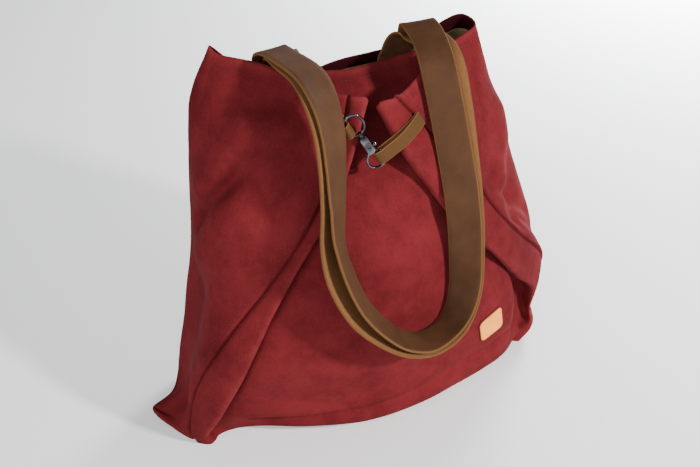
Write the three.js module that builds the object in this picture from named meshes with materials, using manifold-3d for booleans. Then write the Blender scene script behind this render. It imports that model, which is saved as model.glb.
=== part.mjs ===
// A soft convertible tote bag: the two side seams are drawn together at the front by a snap hook,
// so the back wall wraps round as two wings and the front panel is tucked in behind them.
// Millimetres, +Z up, +X to the bag's right as seen from the front, front towards -Y.
// The origin is on the floor, in the middle of the base.
import * as THREE from 'three';
import { mergeVertices } from 'three/addons/utils/BufferGeometryUtils.js';
import Module from 'manifold-3d';

const wasm = await Module();
wasm.setup();

// Bag
const HALF_WIDTH = 200; // half the width across the folded lower corners
const DEPTH = 160; // front bulge to back wall
const HEIGHT = 330; // floor to the middle of the rim
const WALL = 1.6; // shell
const SEAM_HALF = 3.5; // half the width of a side seam's groove
const SEAM_DEPTH = 2.5; // depth of that groove
const FOLD = 7; // thickness of the folded edge in front of a seam
const GAP = 0.3; // between neighbouring pieces

// Lining, straps, tabs and label
const LINING_WALL = 1;
const STRAP_WIDTH = 30;
const STRAP_THICKNESS = 2.6;
const STRAP_BEVEL = 0.6;
const ROOT_EASE = 0.9; // slack between a strap's sewn root and the wall behind it
const TAB_WIDTH = 12;
const TAB_THICKNESS = 1.5;
const TAB_REACH = 16; // from the left seam to the hook's eye
const TAB_EASE = 1.7; // room for the eye's curve inside the left tab's loop
const TAB_SPREAD = 3; // how far a tab's two layers bow apart
const TAB_ARCH = 4; // how far the right tab stands off its seam
const WIRE_EASE = 0.7; // slack of a tab's loop round the wire
const LABEL_WIDTH = 30;
const LABEL_HEIGHT = 27;
const LABEL_THICKNESS = 1.2;
const LABEL_CORNER = 5;

// Snap hook
const EYE_RADIUS = 8;
const EYE_LENGTH = 9.5; // half the eye's length along the hook
const WIRE_RADIUS = 1.15;
const COLLAR_RADIUS = 2.3;
const COLLAR_LENGTH = 4.5;
const BLOCK_WIDTH = 7;
const BLOCK_LENGTH = 17;
const BLOCK_THICKNESS = 4.4;
const BLOCK_BEVEL = 0.6;
const CLAW_RADIUS = 8;
const CLAW_ROOT = 108; // degrees round the claw from the hook's cross axis
const CLAW_TIP = 17;
const GATE_ROOT = 66; // degrees, where the gate leaves the block
const PLATE = 1.6; // gate's thickness
const PIN_RADIUS = 0.8;
const PIN_HEIGHT = 5; // above the block's foot
const BOSS_WALL = 0.9; // gate round its pin
const KNOB_RADIUS = 1.7;
const KNOB_RISE = 0.9; // above the pin
const TIP_CLEARANCE = 1.2; // between the claw's tip and the gate's end
const HOOK_TURN = 29.6; // degrees, the hook's lean to the right of plumb
const HOOK_PITCH = 7; // degrees, its claw hangs forward of its eye by this

// Stations round half of the bag, from the middle of the back to the middle of the front panel,
// with the steps from each station to the next.
const STATIONS = ['backMid', 'quarter', 'corner', 'side', 'wing', 'lip', 'groove', 'band', 'ridge',
  'nose', 'tuck', 'edge', 'panelQuarter', 'panelMid'];
const STEPS = [3, 3, 3, 4, 4, 1, 1, 2, 1, 2, 2, 3, 3];
const HALF = STATIONS.length - 1;
const RING = 2 * HALF;
const ROWS_PER_LEVEL = 3;

// Facets of the hook's wire
const WIRE_SIDES = 8;
const EYE_STEPS = 20; // round the eye
const CLAW_POINTS = 19; // along the claw's middle line
const CLAW_STEPS = 26;
const BAR_ARC = 6; // steps round a bar's end
const GATE_ARC = 6; // steps along the gate's arm

// Levels from the base to the rim. front and back: height of that wall's line (of HEIGHT);
// backFore and midFore: place of the back wall's and the panel's middle (of DEPTH);
// bulge: how far the panel's quarters swell forward (of DEPTH); lift: share of the rim's lift.
const LEVELS = [
  { name: 'base', front: 0, back: 0, backFore: 0.36, midFore: -0.455, bulge: 0.031, lift: 0 },
  { name: 'toe', front: 0.04, back: 0.04, backFore: 0.39, midFore: -0.57, bulge: 0.044, lift: 0 },
  { name: 'foot', front: 0.1, back: 0.1, backFore: 0.4, midFore: -0.605, bulge: 0.044, lift: 0 },
  { name: 'heel', front: 0.19, back: 0.19, backFore: 0.4, midFore: -0.585, bulge: 0.044, lift: 0 },
  { name: 'low', front: 0.31, back: 0.31, backFore: 0.39, midFore: -0.62, bulge: 0.044, lift: 0 },
  { name: 'waist', front: 0.46, back: 0.46, backFore: 0.37, midFore: -0.6, bulge: 0.044, lift: 0 },
  { name: 'chest', front: 0.62, back: 0.625, backFore: 0.33, midFore: -0.53, bulge: 0.031, lift: 0.1 },
  { name: 'neck', front: 0.76, back: 0.78, backFore: 0.29, midFore: -0.385, bulge: 0.012, lift: 0.25 },
  { name: 'collar', front: 0.885, back: 0.91, backFore: 0.265, midFore: -0.12, bulge: -0.019, lift: 0.55 },
  { name: 'rim', front: 0.995, back: 1, backFore: 0.24, midFore: 0.12, bulge: -0.012, lift: 1 },
];

// Each side, a row for each level: out (of HALF_WIDTH) and fore (of DEPTH) of a station; the tuck is
// placed from the ridge, reach back under the wing and deep into the bag (both of DEPTH).
const SIDE_COLUMNS = ['cornerOut', 'cornerFore', 'sideOut', 'sideFore', 'wingOut', 'wingFore',
  'seamOut', 'seamFore', 'ridgeOut', 'ridgeFore', 'tuckReach', 'tuckDeep', 'edgeOut', 'edgeFore'];
const RIGHT_SIDE = [
  [0.76, 0.3, 0.9, 0.1, 0.95, -0.01, 0.95, -0.09, 0.9, -0.17, -0.03, 0.075, 0.74, -0.27],
  [0.82, 0.31, 0.97, 0.1, 1.02, 0.01, 1.03, -0.04, 0.97, -0.15, -0.04, 0.09, 0.76, -0.3],
  [0.83, 0.33, 0.97, 0.12, 1.01, 0.05, 1, 0, 0.97, -0.11, -0.02, 0.12, 0.76, -0.31],
  [0.82, 0.34, 0.98, 0.18, 1.05, 0.09, 1.06, 0.02, 0.97, -0.13, -0.02, 0.16, 0.75, -0.34],
  [0.8, 0.34, 1.01, 0.09, 1.02, 0, 1.005, -0.08, 0.81, -0.26, 0.03, 0.11, 0.735, -0.32],
  [0.76, 0.33, 0.94, 0.09, 0.88, -0.14, 0.8, -0.23, 0.62, -0.375, 0.13, 0.075, 0.575, -0.315],
  [0.71, 0.31, 0.84, 0.08, 0.72, -0.18, 0.585, -0.325, 0.39, -0.42, 0.22, 0.07, 0.36, -0.36],
  [0.65, 0.29, 0.75, 0.08, 0.61, -0.17, 0.43, -0.33, 0.23, -0.41, 0.3, 0.07, 0.21, -0.345],
  [0.6, 0.27, 0.66, 0.09, 0.49, -0.12, 0.255, -0.29, 0.105, -0.365, 0.45, 0.075, 0.25, -0.15],
  [0.56, 0.23, 0.6, 0.14, 0.39, -0.01, 0.105, -0.25, 0.02, -0.28, 0.55, 0.08, 0.34, 0.125],
];
const LEFT_SIDE = [
  [0.76, 0.3, 0.9, 0.1, 0.99, -0.03, 0.88, -0.3, 0.81, -0.36, 0.01, 0.08, 0.66, -0.29],
  [0.82, 0.31, 0.93, 0.1, 1.04, -0.03, 0.9, -0.29, 0.84, -0.38, 0.03, 0.08, 0.67, -0.34],
  [0.82, 0.33, 0.88, 0.1, 0.9, -0.08, 0.885, -0.28, 0.82, -0.43, 0.06, 0.075, 0.68, -0.4],
  [0.79, 0.34, 0.84, 0.1, 0.86, -0.12, 0.86, -0.31, 0.77, -0.49, 0.09, 0.07, 0.69, -0.445],
  [0.76, 0.34, 0.79, 0.08, 0.81, -0.16, 0.8, -0.385, 0.68, -0.53, 0.11, 0.065, 0.625, -0.5],
  [0.72, 0.33, 0.74, 0.06, 0.75, -0.2, 0.65, -0.435, 0.56, -0.525, 0.15, 0.07, 0.51, -0.48],
  [0.69, 0.31, 0.72, 0.06, 0.66, -0.23, 0.435, -0.44, 0.395, -0.49, 0.22, 0.07, 0.355, -0.425],
  [0.67, 0.29, 0.71, 0.06, 0.6, -0.2, 0.275, -0.41, 0.225, -0.435, 0.3, 0.07, 0.2, -0.36],
  [0.65, 0.27, 0.69, 0.09, 0.53, -0.11, 0.175, -0.335, 0.125, -0.37, 0.45, 0.075, 0.25, -0.15],
  [0.58, 0.2, 0.57, 0.16, 0.4, 0.045, 0.105, -0.235, 0.04, -0.28, 0.55, 0.08, 0.34, 0.125],
];

// How far each station's rim stands above the level's line, left and right (of HEIGHT).
const RIM_LIFT = {
  backMid: [0, 0], quarter: [-0.03, 0.02], corner: [0.105, 0.08], side: [0.095, 0.07],
  wing: [0.075, 0.05], seam: [0.025, 0.005], ridge: [0.005, -0.015], tuck: [0.03, 0.03],
  edge: [0.015, 0.015], panelMid: [0, 0],
};

// Creases and swells of the cloth, from one place (station, level) to another; stations run on past
// panelMid down the left side. width is in stations, depth is inward (of FOLD), minus for a swell.
const CREASES = [
  { u0: 22.95, v0: 6.0, u1: 21.9, v1: 7.5, width: 0.2, depth: 0.9 }, // left wing, diagonal
  { u0: 22.6, v0: 6.75, u1: 21.7, v1: 8.3, width: 0.35, depth: -0.8 }, // swell above it
  { u0: 22.9, v0: 5.4, u1: 21.9, v1: 6.6, width: 0.35, depth: -0.7 }, // swell below it
  { u0: 3.6, v0: 6.3, u1: 4.6, v1: 5.4, width: 0.3, depth: 0.8 }, // right wing, diagonal
  { u0: 3.2, v0: 7.2, u1: 4.2, v1: 6.2, width: 0.35, depth: -0.6 }, // swell above it
  { u0: 14.6, v0: 1.6, u1: 11.2, v1: 2.35, width: 0.28, depth: 0.9 }, // panel, above the base
  { u0: 13.6, v0: 2.6, u1: 15.4, v1: 3.3, width: 0.5, depth: 0.5 }, // panel, slack at the left
  { u0: 24.6, v0: 2.2, u1: 25.6, v1: 3.4, width: 0.4, depth: 0.8 }, // back wall, low left
  { u0: 0.4, v0: 4.6, u1: 2.2, v1: 2.4, width: 0.4, depth: 0.8 }, // back wall, low right
];

// Lining strip round the inside of the back wall, and the places of roots and pieces:
// stations (u) and levels (v).
const LINING = { u0: -2, u1: 3, v0: 8, v1: 9 - 1 / ROWS_PER_LEVEL };
const BACK_ROOT = { u: 1, v: [8, 8.4, 8.8] };
const FRONT_ROOT = { u: 11.7, v: [8.6, 8.8, 9] };
const LEFT_TAB_ROOT = 8.52;
const RIGHT_TAB_ROOT = 8.36;
const LABEL_AT = { u: 11.5, v: 3.42, tilt: 14 };

// Free run of the back strap, from its right root over the front to its left root: out, fore and
// rise place its middle (of HALF_WIDTH, DEPTH and HEIGHT); lean is the way across its width.
// slide, under and turn set the front strap from it: along the lean and behind (of STRAP_WIDTH),
// and degrees about its run.
const STRAP_COLUMNS = ['out', 'fore', 'rise', 'leanOut', 'leanFore', 'leanRise',
  'slide', 'under', 'turn'];
const STRAP_RUN = [
  [0.325, 0.194, 1.055, 0.98, -0.15, 0.05, -0.42, 0.29, 0],
  [0.322, 0.156, 1.092, 0.96, -0.23, 0.14, -0.2, 0.37, 0],
  [0.32, 0, 1.087, 0.95, -0.28, 0.1, 0.15, 0.22, 0],
  [0.305, -0.165, 1.058, 0.94, -0.34, 0.02, 0.28, 0.17, 0],
  [0.315, -0.285, 0.963, 0.92, -0.38, -0.05, 0.25, 0.16, 0],
  [0.33, -0.388, 0.855, 0.93, -0.36, 0, 0.18, 0.15, 0],
  [0.35, -0.478, 0.728, 0.91, -0.41, 0.05, 0.1, 0.15, 0],
  [0.368, -0.53, 0.575, 0.82, -0.54, 0.18, 0.05, 0.15, 0],
  [0.35, -0.598, 0.457, 0.66, -0.68, 0.3, 0, 0.16, 0],
  [0.282, -0.655, 0.386, 0.4, -0.88, 0.24, 0, 0.17, 0],
  [0.16, -0.705, 0.366, 0.15, -0.98, 0.08, 0, 0.17, 0],
  [0.042, -0.74, 0.4, -0.1, -0.99, 0.05, 0, 0.19, 3],
  [-0.068, -0.756, 0.466, -0.32, -0.93, 0.15, 0, 0.24, 10],
  [-0.165, -0.733, 0.55, -0.48, -0.82, 0.3, 0.02, 0.3, 20],
  [-0.222, -0.67, 0.643, -0.53, -0.72, 0.44, 0.02, 0.33, 22],
  [-0.24, -0.598, 0.715, -0.53, -0.66, 0.53, 0.03, 0.28, 14],
  [-0.236, -0.55, 0.815, -0.6, -0.6, 0.52, 0.07, 0.2, 5],
  [-0.235, -0.515, 0.91, -0.71, -0.54, 0.45, 0.1, 0.16, 0],
  [-0.232, -0.455, 0.992, -0.82, -0.47, 0.3, 0.1, 0.16, 0],
  [-0.24, -0.36, 1.05, -0.86, -0.49, 0.14, 0.08, 0.17, 0],
  [-0.258, -0.205, 1.086, -0.84, -0.53, 0.02, 0.04, 0.16, 0],
  [-0.308, -0.05, 1.098, -0.78, -0.6, 0.1, -0.06, 0.17, 0],
  [-0.345, 0.1, 1.09, -0.88, -0.42, 0.12, -0.24, 0.19, 0],
  [-0.333, 0.196, 1.03, -0.98, -0.1, 0.05, -0.37, 0.155, 0],
];
const RUN_STEPS = 2;

const rad = THREE.MathUtils.degToRad;
const V = (x, y, z) => new THREE.Vector3(x, y, z);
const unit = (v) => v.clone().normalize();
const along = (a, b, f) => a.clone().lerp(b, f);
const plus = (a, b, k = 1) => a.clone().addScaledVector(b, k);
const rows = (columns, table) => table
  .map((row) => Object.fromEntries(columns.map((c, i) => [c, row[i]])));

/** Point at share f of the centripetal Catmull-Rom span from p1 to p2. */
function span(p0, p1, p2, p3, f) {
  const knot = (a, b) => Math.max(Math.sqrt(a.distanceTo(b)), 1e-4);
  const d1 = knot(p0, p1), d2 = knot(p1, p2), d3 = knot(p2, p3);
  const slope = (a, b, c, da, db) => V(0, 0, 0).addScaledVector(plus(b, a, -1), d2 / da)
    .addScaledVector(plus(c, a, -1), -d2 / (da + db)).addScaledVector(plus(c, b, -1), d2 / db);
  const m1 = slope(p0, p1, p2, d1, d2), m2 = slope(p1, p2, p3, d2, d3);
  const f2 = f * f, f3 = f2 * f;
  return V(0, 0, 0).addScaledVector(p1, 2 * f3 - 3 * f2 + 1).addScaledVector(m1, f3 - 2 * f2 + f)
    .addScaledVector(p2, 3 * f2 - 2 * f3).addScaledVector(m2, f3 - f2);
}

/** Point t spans along an open row of points. */
function openSpan(points, t) {
  const i = Math.min(Math.max(Math.floor(t), 0), points.length - 2);
  const a = points[i], b = points[i + 1];
  const before = points[i - 1] ?? plus(a, plus(a, b, -1));
  const after = points[i + 2] ?? plus(b, plus(b, a, -1));
  return span(before, a, b, after, t - i);
}

/** Height of a level's line at a place between the front and the back. */
const levelHeight = (level, y) => HEIGHT
  * (level.front + (level.back - level.front) * (y / DEPTH / 0.75 + 0.5));

/** One side's station points at a level, from the quarter to the panel's quarter. */
function sidePoints(level, row, sign, back, middle) {
  const column = sign > 0 ? 1 : 0;
  const rise = (station) => RIM_LIFT[station][column] * HEIGHT * level.lift;
  const at = (x, y, station) => V(x, y, levelHeight(level, y) + rise(station));
  const place = (s) => at(sign * row[`${s}Out`] * HALF_WIDTH, row[`${s}Fore`] * DEPTH, s);
  const corner = place('corner'), side = place('side'), wing = place('wing');
  const seam = place('seam'), ridge = place('ridge'), edge = place('edge');
  const run = unit(plus(ridge, wing, -1).setZ(0));
  const inward = V(run.y * sign, -run.x * sign, 0);
  const tuckFlat = plus(plus(ridge, run, -row.tuckReach * DEPTH), inward, row.tuckDeep * DEPTH);
  const tuck = at(tuckFlat.x, tuckFlat.y, 'tuck');
  const quarterY = 0.62 * back.y + 0.38 * corner.y + 0.0125 * DEPTH * (1 - level.lift / 2);
  const quarter = V(0.55 * corner.x, quarterY, back.z + rise('quarter'));
  const forward = unit(V(-(middle.y - edge.y), middle.x - edge.x, 0));
  if (forward.y > 0) forward.negate();
  const panelQuarter = plus(along(edge, middle, 0.5), forward, level.bulge * DEPTH);
  return [quarter, corner, side, wing, plus(seam, run, -SEAM_HALF), plus(seam, inward, SEAM_DEPTH),
    plus(seam, run, SEAM_HALF), ridge, plus(ridge, inward, FOLD), tuck, edge, panelQuarter];
}

const rightRows = rows(SIDE_COLUMNS, RIGHT_SIDE), leftRows = rows(SIDE_COLUMNS, LEFT_SIDE);
const stationPoints = LEVELS.map((level, i) => {
  const back = V(0, level.backFore * DEPTH, levelHeight(level, level.backFore * DEPTH));
  const middle = V(0, level.midFore * DEPTH, levelHeight(level, level.midFore * DEPTH));
  return [back, ...sidePoints(level, rightRows[i], 1, back, middle), middle,
    ...sidePoints(level, leftRows[i], -1, back, middle).reverse()];
});
const stationLines = Array.from({ length: RING }, (_, s) => stationPoints.map((level) => level[s]));

/** The smooth shell at station u and level v, before its creases. */
function shellPoint(u, v) {
  const i = Math.floor(u);
  const line = (k) => stationLines[THREE.MathUtils.euclideanModulo(i + k, RING)];
  const p = [-1, 0, 1, 2].map((k) => openSpan(line(k), v));
  return span(...p, u - i);
}

/** Outward normal of the shell. */
function shellNormal(u, v) {
  const h = 0.04, top = LEVELS.length - 1;
  const across = plus(shellPoint(u + h, v), shellPoint(u - h, v), -1);
  const up = plus(shellPoint(u, Math.min(v + h, top)), shellPoint(u, Math.max(v - h, 0)), -1);
  return up.cross(across).normalize();
}

/** How far the cloth is pushed out at a place by its creases and swells. */
function creaseOut(u, v) {
  let out = 0;
  for (const c of CREASES) {
    const du = c.u1 - c.u0, dv = c.v1 - c.v0, length = Math.hypot(du, dv);
    const pu = THREE.MathUtils.euclideanModulo(u - c.u0 + HALF, RING) - HALF, pv = v - c.v0;
    const s = (pu * du + pv * dv) / length, t = (pu * dv - pv * du) / length;
    const end = Math.max(-s, s - length, 0);
    out -= c.depth * FOLD * Math.exp(-(t * t + end * end) / (c.width * c.width));
  }
  return out * Math.min(v, 1);
}

/** The bag's surface at station u and level v, at a depth inside its outer face. */
function surface(u, v, depth = 0) {
  return plus(shellPoint(u, v), shellNormal(u, v), creaseOut(u, v) - depth);
}

/** Stations at every step from u0 to u1. */
function stationSteps(u0, u1) {
  const list = [];
  for (let s = u0; s < u1; s++) {
    const k = THREE.MathUtils.euclideanModulo(s, RING);
    const steps = k < HALF ? STEPS[k] : STEPS[RING - 1 - k];
    for (let j = 0; j < steps; j++) list.push(s + j / steps);
  }
  return list;
}
const levelSteps = (v0, v1) => Array.from({ length: Math.round((v1 - v0) * ROWS_PER_LEVEL) + 1 },
  (_, i) => v0 + i / ROWS_PER_LEVEL);

/** Geometry from points and triangles. */
function meshOf(points, triangles) {
  const geometry = new THREE.BufferGeometry(), values = points.flatMap((p) => [p.x, p.y, p.z]);
  geometry.setAttribute('position', new THREE.Float32BufferAttribute(values, 3));
  geometry.setIndex(triangles.flat());
  return geometry;
}

/** Flat triangles inside a ring of points, facing up or down. */
function flatFill(points, first, up) {
  const flat = points.map((p) => new THREE.Vector2(p.x, p.y));
  return THREE.ShapeUtils.triangulateShape(flat, []).map(([a, b, c]) => {
    const turn = flat[b].clone().sub(flat[a]).cross(flat[c].clone().sub(flat[a]));
    return (turn > 0) === up ? [first + a, first + b, first + c] : [first + a, first + c, first + b];
  });
}

/** Triangles between two rows of n points, closed round or not; flip turns them over. */
function strip(a, b, n, closed, flip) {
  const out = [];
  for (let i = 0; i < (closed ? n : n - 1); i++) {
    const j = (i + 1) % n;
    const pair = [[a + i, b + j, a + j], [a + i, b + i, b + j]];
    out.push(...(flip ? pair.map(([p, q, r]) => [p, r, q]) : pair));
  }
  return out;
}

/** The hollow shell of cloth, open at the rim. */
function bagBody() {
  const us = stationSteps(0, RING), vs = levelSteps(0, LEVELS.length - 1), n = us.length;
  const outer = vs.flatMap((v) => us.map((u) => surface(u, v)));
  const inner = vs.flatMap((v) => us.map((u) => surface(u, v, WALL)));
  for (let i = 0; i < n; i++) { outer[i].z = 0; inner[i].z = WALL; }
  const points = [...outer, ...inner], top = (vs.length - 1) * n, inside = outer.length;
  const triangles = [...flatFill(outer.slice(0, n), 0, false), ...flatFill(inner.slice(0, n), inside, true)];
  for (let k = 0; k < top; k += n) {
    triangles.push(...strip(k, k + n, n, true, false), ...strip(inside + k, inside + k + n, n, true, true));
  }
  triangles.push(...strip(top, inside + top, n, true, false));
  return meshOf(points, triangles);
}

/** A thin piece lying on the inside of the shell between two depths. */
function insidePatch({ u0, u1, v0, v1 }, near, far) {
  const us = [...stationSteps(u0, u1), u1], vs = levelSteps(v0, v1), n = us.length, m = vs.length;
  const skin = (depth) => vs.flatMap((v) => us.map((u) => surface(u, v, depth)));
  const points = [...skin(near), ...skin(far)], other = n * m, triangles = [];
  for (let j = 0; j < m - 1; j++) {
    triangles.push(...strip(j * n, j * n + n, n, false, false));
    triangles.push(...strip(other + j * n, other + j * n + n, n, false, true));
  }
  const round = [];
  for (let i = 0; i < n - 1; i++) round.push(i);
  for (let j = 0; j < m - 1; j++) round.push(j * n + n - 1);
  for (let i = n - 1; i > 0; i--) round.push((m - 1) * n + i);
  for (let j = m - 1; j > 0; j--) round.push(j * n);
  round.forEach((a, i) => {
    const b = round[(i + 1) % round.length];
    triangles.push([a, b, other + b], [a, other + b, other + a]);
  });
  return meshOf(points, triangles);
}

/** A band of constant width and thickness along rows of { at, lean }. */
function ribbon(path, width, thickness, bevel, steps) {
  const middle = path.map((p) => p.at), leans = path.map((p) => p.lean);
  const w = width / 2, t = thickness / 2;
  const section = [[w - bevel, -t], [w, bevel - t], [w, t - bevel], [w - bevel, t],
    [bevel - w, t], [-w, t - bevel], [-w, bevel - t], [bevel - w, -t]];
  const count = (path.length - 1) * steps, n = section.length, points = [], triangles = [];
  for (let k = 0; k <= count; k++) {
    const s = k / steps, at = openSpan(middle, s), frame = frameOf(middle, leans, s);
    for (const [a, b] of section) points.push(plus(plus(at, frame.lean, a), frame.face, b));
    if (k) triangles.push(...strip((k - 1) * n, k * n, n, true, true));
  }
  for (let i = 1; i < n - 1; i++) {
    triangles.push([0, i + 1, i], [count * n, count * n + i, count * n + i + 1]);
  }
  return meshOf(points, triangles);
}

/** Run, lean and face of a band at a place along it, square to each other. */
function frameOf(middle, leans, s) {
  const h = 0.05, last = middle.length - 1;
  const run = unit(plus(openSpan(middle, Math.min(s + h, last)), openSpan(middle, Math.max(s - h, 0)), -1));
  const raw = openSpan(leans, s);
  const lean = unit(plus(raw, run, -raw.dot(run)));
  return { run, lean, face: run.clone().cross(lean) };
}

/**
 * The sewn end of a strap on the inside of the shell, as rows from its tip to the rim; lift eases
 * each row further off the wall.
 */
function strapRoot(u, levels, side, depth, lift) {
  return levels.map((v, i) => {
    const across = unit(plus(surface(u + 0.1, v), surface(u - 0.1, v), -1));
    return { at: surface(u, v, depth + i * lift), lean: across.multiplyScalar(side) };
  });
}

const runRows = rows(STRAP_COLUMNS, STRAP_RUN);
const runPath = runRows.map((r) => ({
  at: V(r.out * HALF_WIDTH, r.fore * DEPTH, r.rise * HEIGHT),
  lean: V(r.leanOut, r.leanFore, r.leanRise).normalize(),
}));

/** The strap sewn inside the back wall. */
function backStrap() {
  const depth = WALL + GAP + LINING_WALL + GAP + ROOT_EASE + STRAP_THICKNESS / 2;
  const right = strapRoot(BACK_ROOT.u, BACK_ROOT.v, 1, depth, 0);
  const left = strapRoot(RING - BACK_ROOT.u, BACK_ROOT.v, -1, depth, 0).reverse();
  return ribbon([...right, ...runPath, ...left], STRAP_WIDTH, STRAP_THICKNESS, STRAP_BEVEL, RUN_STEPS);
}

/** The strap sewn inside the front panel, hanging just behind the other one. */
function frontStrap() {
  const depth = WALL + GAP + ROOT_EASE + STRAP_THICKNESS / 2;
  const middle = runPath.map((p) => p.at), leans = runPath.map((p) => p.lean);
  const free = runRows.map((row, i) => {
    const frame = frameOf(middle, leans, i);
    const behind = Math.max(row.under * STRAP_WIDTH, STRAP_THICKNESS + GAP);
    const at = plus(plus(middle[i], frame.lean, row.slide * STRAP_WIDTH), frame.face, -behind);
    return { at, lean: frame.lean.clone().applyAxisAngle(frame.run, rad(row.turn)) };
  });
  const right = strapRoot(FRONT_ROOT.u, FRONT_ROOT.v, -1, depth, ROOT_EASE);
  const left = strapRoot(RING - FRONT_ROOT.u, FRONT_ROOT.v, 1, depth, ROOT_EASE * 1.25).reverse();
  return ribbon([...right, ...free, ...left], STRAP_WIDTH, STRAP_THICKNESS, STRAP_BEVEL, RUN_STEPS);
}

// The snap hook's own frame: x across it, y from its claw towards its eye, z to the front.
const acrossHook = V(Math.cos(rad(HOOK_TURN)), 0, Math.sin(rad(HOOK_TURN)));
const upHook = V(-Math.sin(rad(HOOK_TURN)), 0, Math.cos(rad(HOOK_TURN)))
  .applyAxisAngle(acrossHook, -rad(HOOK_PITCH));
const frontHook = acrossHook.clone().cross(upHook);
const GROOVE = STATIONS.indexOf('groove');
const blockFoot = CLAW_RADIUS - WIRE_RADIUS / 2;
const collarFoot = blockFoot + BLOCK_LENGTH + GAP;
const eyeHeight = collarFoot + COLLAR_LENGTH + EYE_LENGTH - WIRE_RADIUS;
const leftSeam = surface(RING - GROOVE, LEFT_TAB_ROOT);
const leftOut = unit(unit(shellNormal(RING - GROOVE, LEFT_TAB_ROOT).setZ(0)).add(V(0, -1, 0)));
const eyeLimb = plus(leftSeam, leftOut, TAB_REACH);
const hookAt = plus(plus(eyeLimb, acrossHook, EYE_RADIUS), upHook, -eyeHeight);
const inHook = (x, y, z = 0) => plus(plus(plus(hookAt, acrossHook, x), upHook, y), frontHook, z);

/** Solid from a closed geometry. */
function solid(geometry) {
  geometry.deleteAttribute('normal');
  geometry.deleteAttribute('uv');
  const merged = mergeVertices(geometry, 1e-4);
  return new wasm.Manifold(new wasm.Mesh({
    numProp: 3,
    vertProperties: merged.attributes.position.array,
    triVerts: new Uint32Array(merged.index.array),
  }));
}

/** Geometry from a solid. */
function geometryOf(manifold) {
  const mesh = manifold.getMesh(), geometry = new THREE.BufferGeometry();
  geometry.setAttribute('position', new THREE.BufferAttribute(new Float32Array(mesh.vertProperties), 3));
  geometry.setIndex(new THREE.BufferAttribute(new Uint32Array(mesh.triVerts), 1));
  return geometry;
}

const fused = (...parts) => parts.map(solid).reduce((a, b) => a.add(b));

/** Wire of the hook along a curve, with flat ends. */
function wire(curve, steps, radius) {
  const round = new THREE.EllipseCurve(0, 0, radius, radius).getPoints(WIRE_SIDES).slice(0, -1);
  return new THREE.ExtrudeGeometry(new THREE.Shape(round),
    { steps, extrudePath: curve, bevelEnabled: false });
}

/** Flat plate of an outline, centred on the hook's plane. */
function plate(outline, thickness, bevel = 0) {
  const shape = new THREE.Shape(outline.map(([x, y]) => new THREE.Vector2(x, y)));
  const geometry = new THREE.ExtrudeGeometry(shape, { depth: thickness - 2 * bevel, steps: 1,
    bevelEnabled: bevel > 0, bevelThickness: bevel, bevelSize: bevel, bevelOffset: -bevel, bevelSegments: 1 });
  return geometry.translate(0, 0, bevel - thickness / 2);
}
const box = (x0, x1, y0, y1, z) => new THREE.BoxGeometry(x1 - x0, y1 - y0, z)
  .translate((x0 + x1) / 2, (y0 + y1) / 2, 0);
const post = (x, y, radius, length) => new THREE.CylinderGeometry(radius, radius, length, 16)
  .rotateX(Math.PI / 2).translate(x, y, 0);

/** Points of a bar with round ends between two places. */
function bar([x0, y0], [x1, y1], half) {
  const a = Math.atan2(y1 - y0, x1 - x0);
  const arc = (x, y, from) => Array.from({ length: BAR_ARC + 1 }, (_, i) => {
    const t = from + (i / BAR_ARC) * Math.PI;
    return [x + half * Math.cos(t), y + half * Math.sin(t)];
  });
  return [...arc(x1, y1, a - Math.PI / 2), ...arc(x0, y0, a + Math.PI / 2)];
}
const onClaw = (degrees, radius = CLAW_RADIUS) => [
  radius * Math.cos(rad(degrees)), radius * Math.sin(rad(degrees)),
];
const pivot = [0, blockFoot + PIN_HEIGHT];
const boss = PIN_RADIUS + GAP + BOSS_WALL;
const gateEnd = CLAW_TIP + (TIP_CLEARANCE / CLAW_RADIUS) * (180 / Math.PI);
const knobAt = [BLOCK_WIDTH / 2 + KNOB_RADIUS + GAP, pivot[1] + KNOB_RISE];

/** The hook's body: slotted block, claw and the gate's pin. */
function hookBody() {
  const w = BLOCK_WIDTH / 2, foot = blockFoot, head = foot + BLOCK_LENGTH, shoulder = w * 0.7;
  const outline = [[-w, foot + 1], [1 - w, foot - 0.5], [w * 0.5, foot - 0.5], [w, foot + 1],
    [w, head - 2], [shoulder, head], [-shoulder, head], [-w, head - 2]];
  const slot = box(-boss - GAP, w + 1, foot - 2, pivot[1] + boss + GAP, PLATE + 2 * GAP);
  const points = Array.from({ length: CLAW_POINTS }, (_, i) => V(...onClaw(
    CLAW_ROOT + (i / (CLAW_POINTS - 1)) * (360 - CLAW_ROOT + CLAW_TIP)), 0));
  const claw = wire(new THREE.CatmullRomCurve3(points), CLAW_STEPS, WIRE_RADIUS);
  const block = solid(plate(outline, BLOCK_THICKNESS, BLOCK_BEVEL)).subtract(solid(slot));
  return geometryOf(block.add(solid(claw)).add(solid(post(...pivot, PIN_RADIUS, BLOCK_THICKNESS - 0.8))));
}

/** The sprung gate: a plate on the pin, its curved arm that closes the claw, and its thumb knob. */
function hookGate() {
  const half = WIRE_RADIUS * 0.85, turns = Array.from({ length: GATE_ARC + 1 },
    (_, i) => gateEnd + (i / GATE_ARC) * (GATE_ROOT - gateEnd));
  const arm = [...turns.map((a) => onClaw(a, CLAW_RADIUS + half)),
    ...turns.toReversed().map((a) => onClaw(a, CLAW_RADIUS - half))];
  const joined = fused(plate(arm, PLATE), plate(bar(pivot, onClaw(GATE_ROOT), half * 1.2), PLATE),
    plate(bar(pivot, knobAt, half * 0.8), PLATE),
    post(...pivot, boss, PLATE), post(...knobAt, KNOB_RADIUS, BLOCK_THICKNESS));
  return geometryOf(joined.subtract(solid(post(...pivot, PIN_RADIUS + GAP, BLOCK_THICKNESS))));
}

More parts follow.
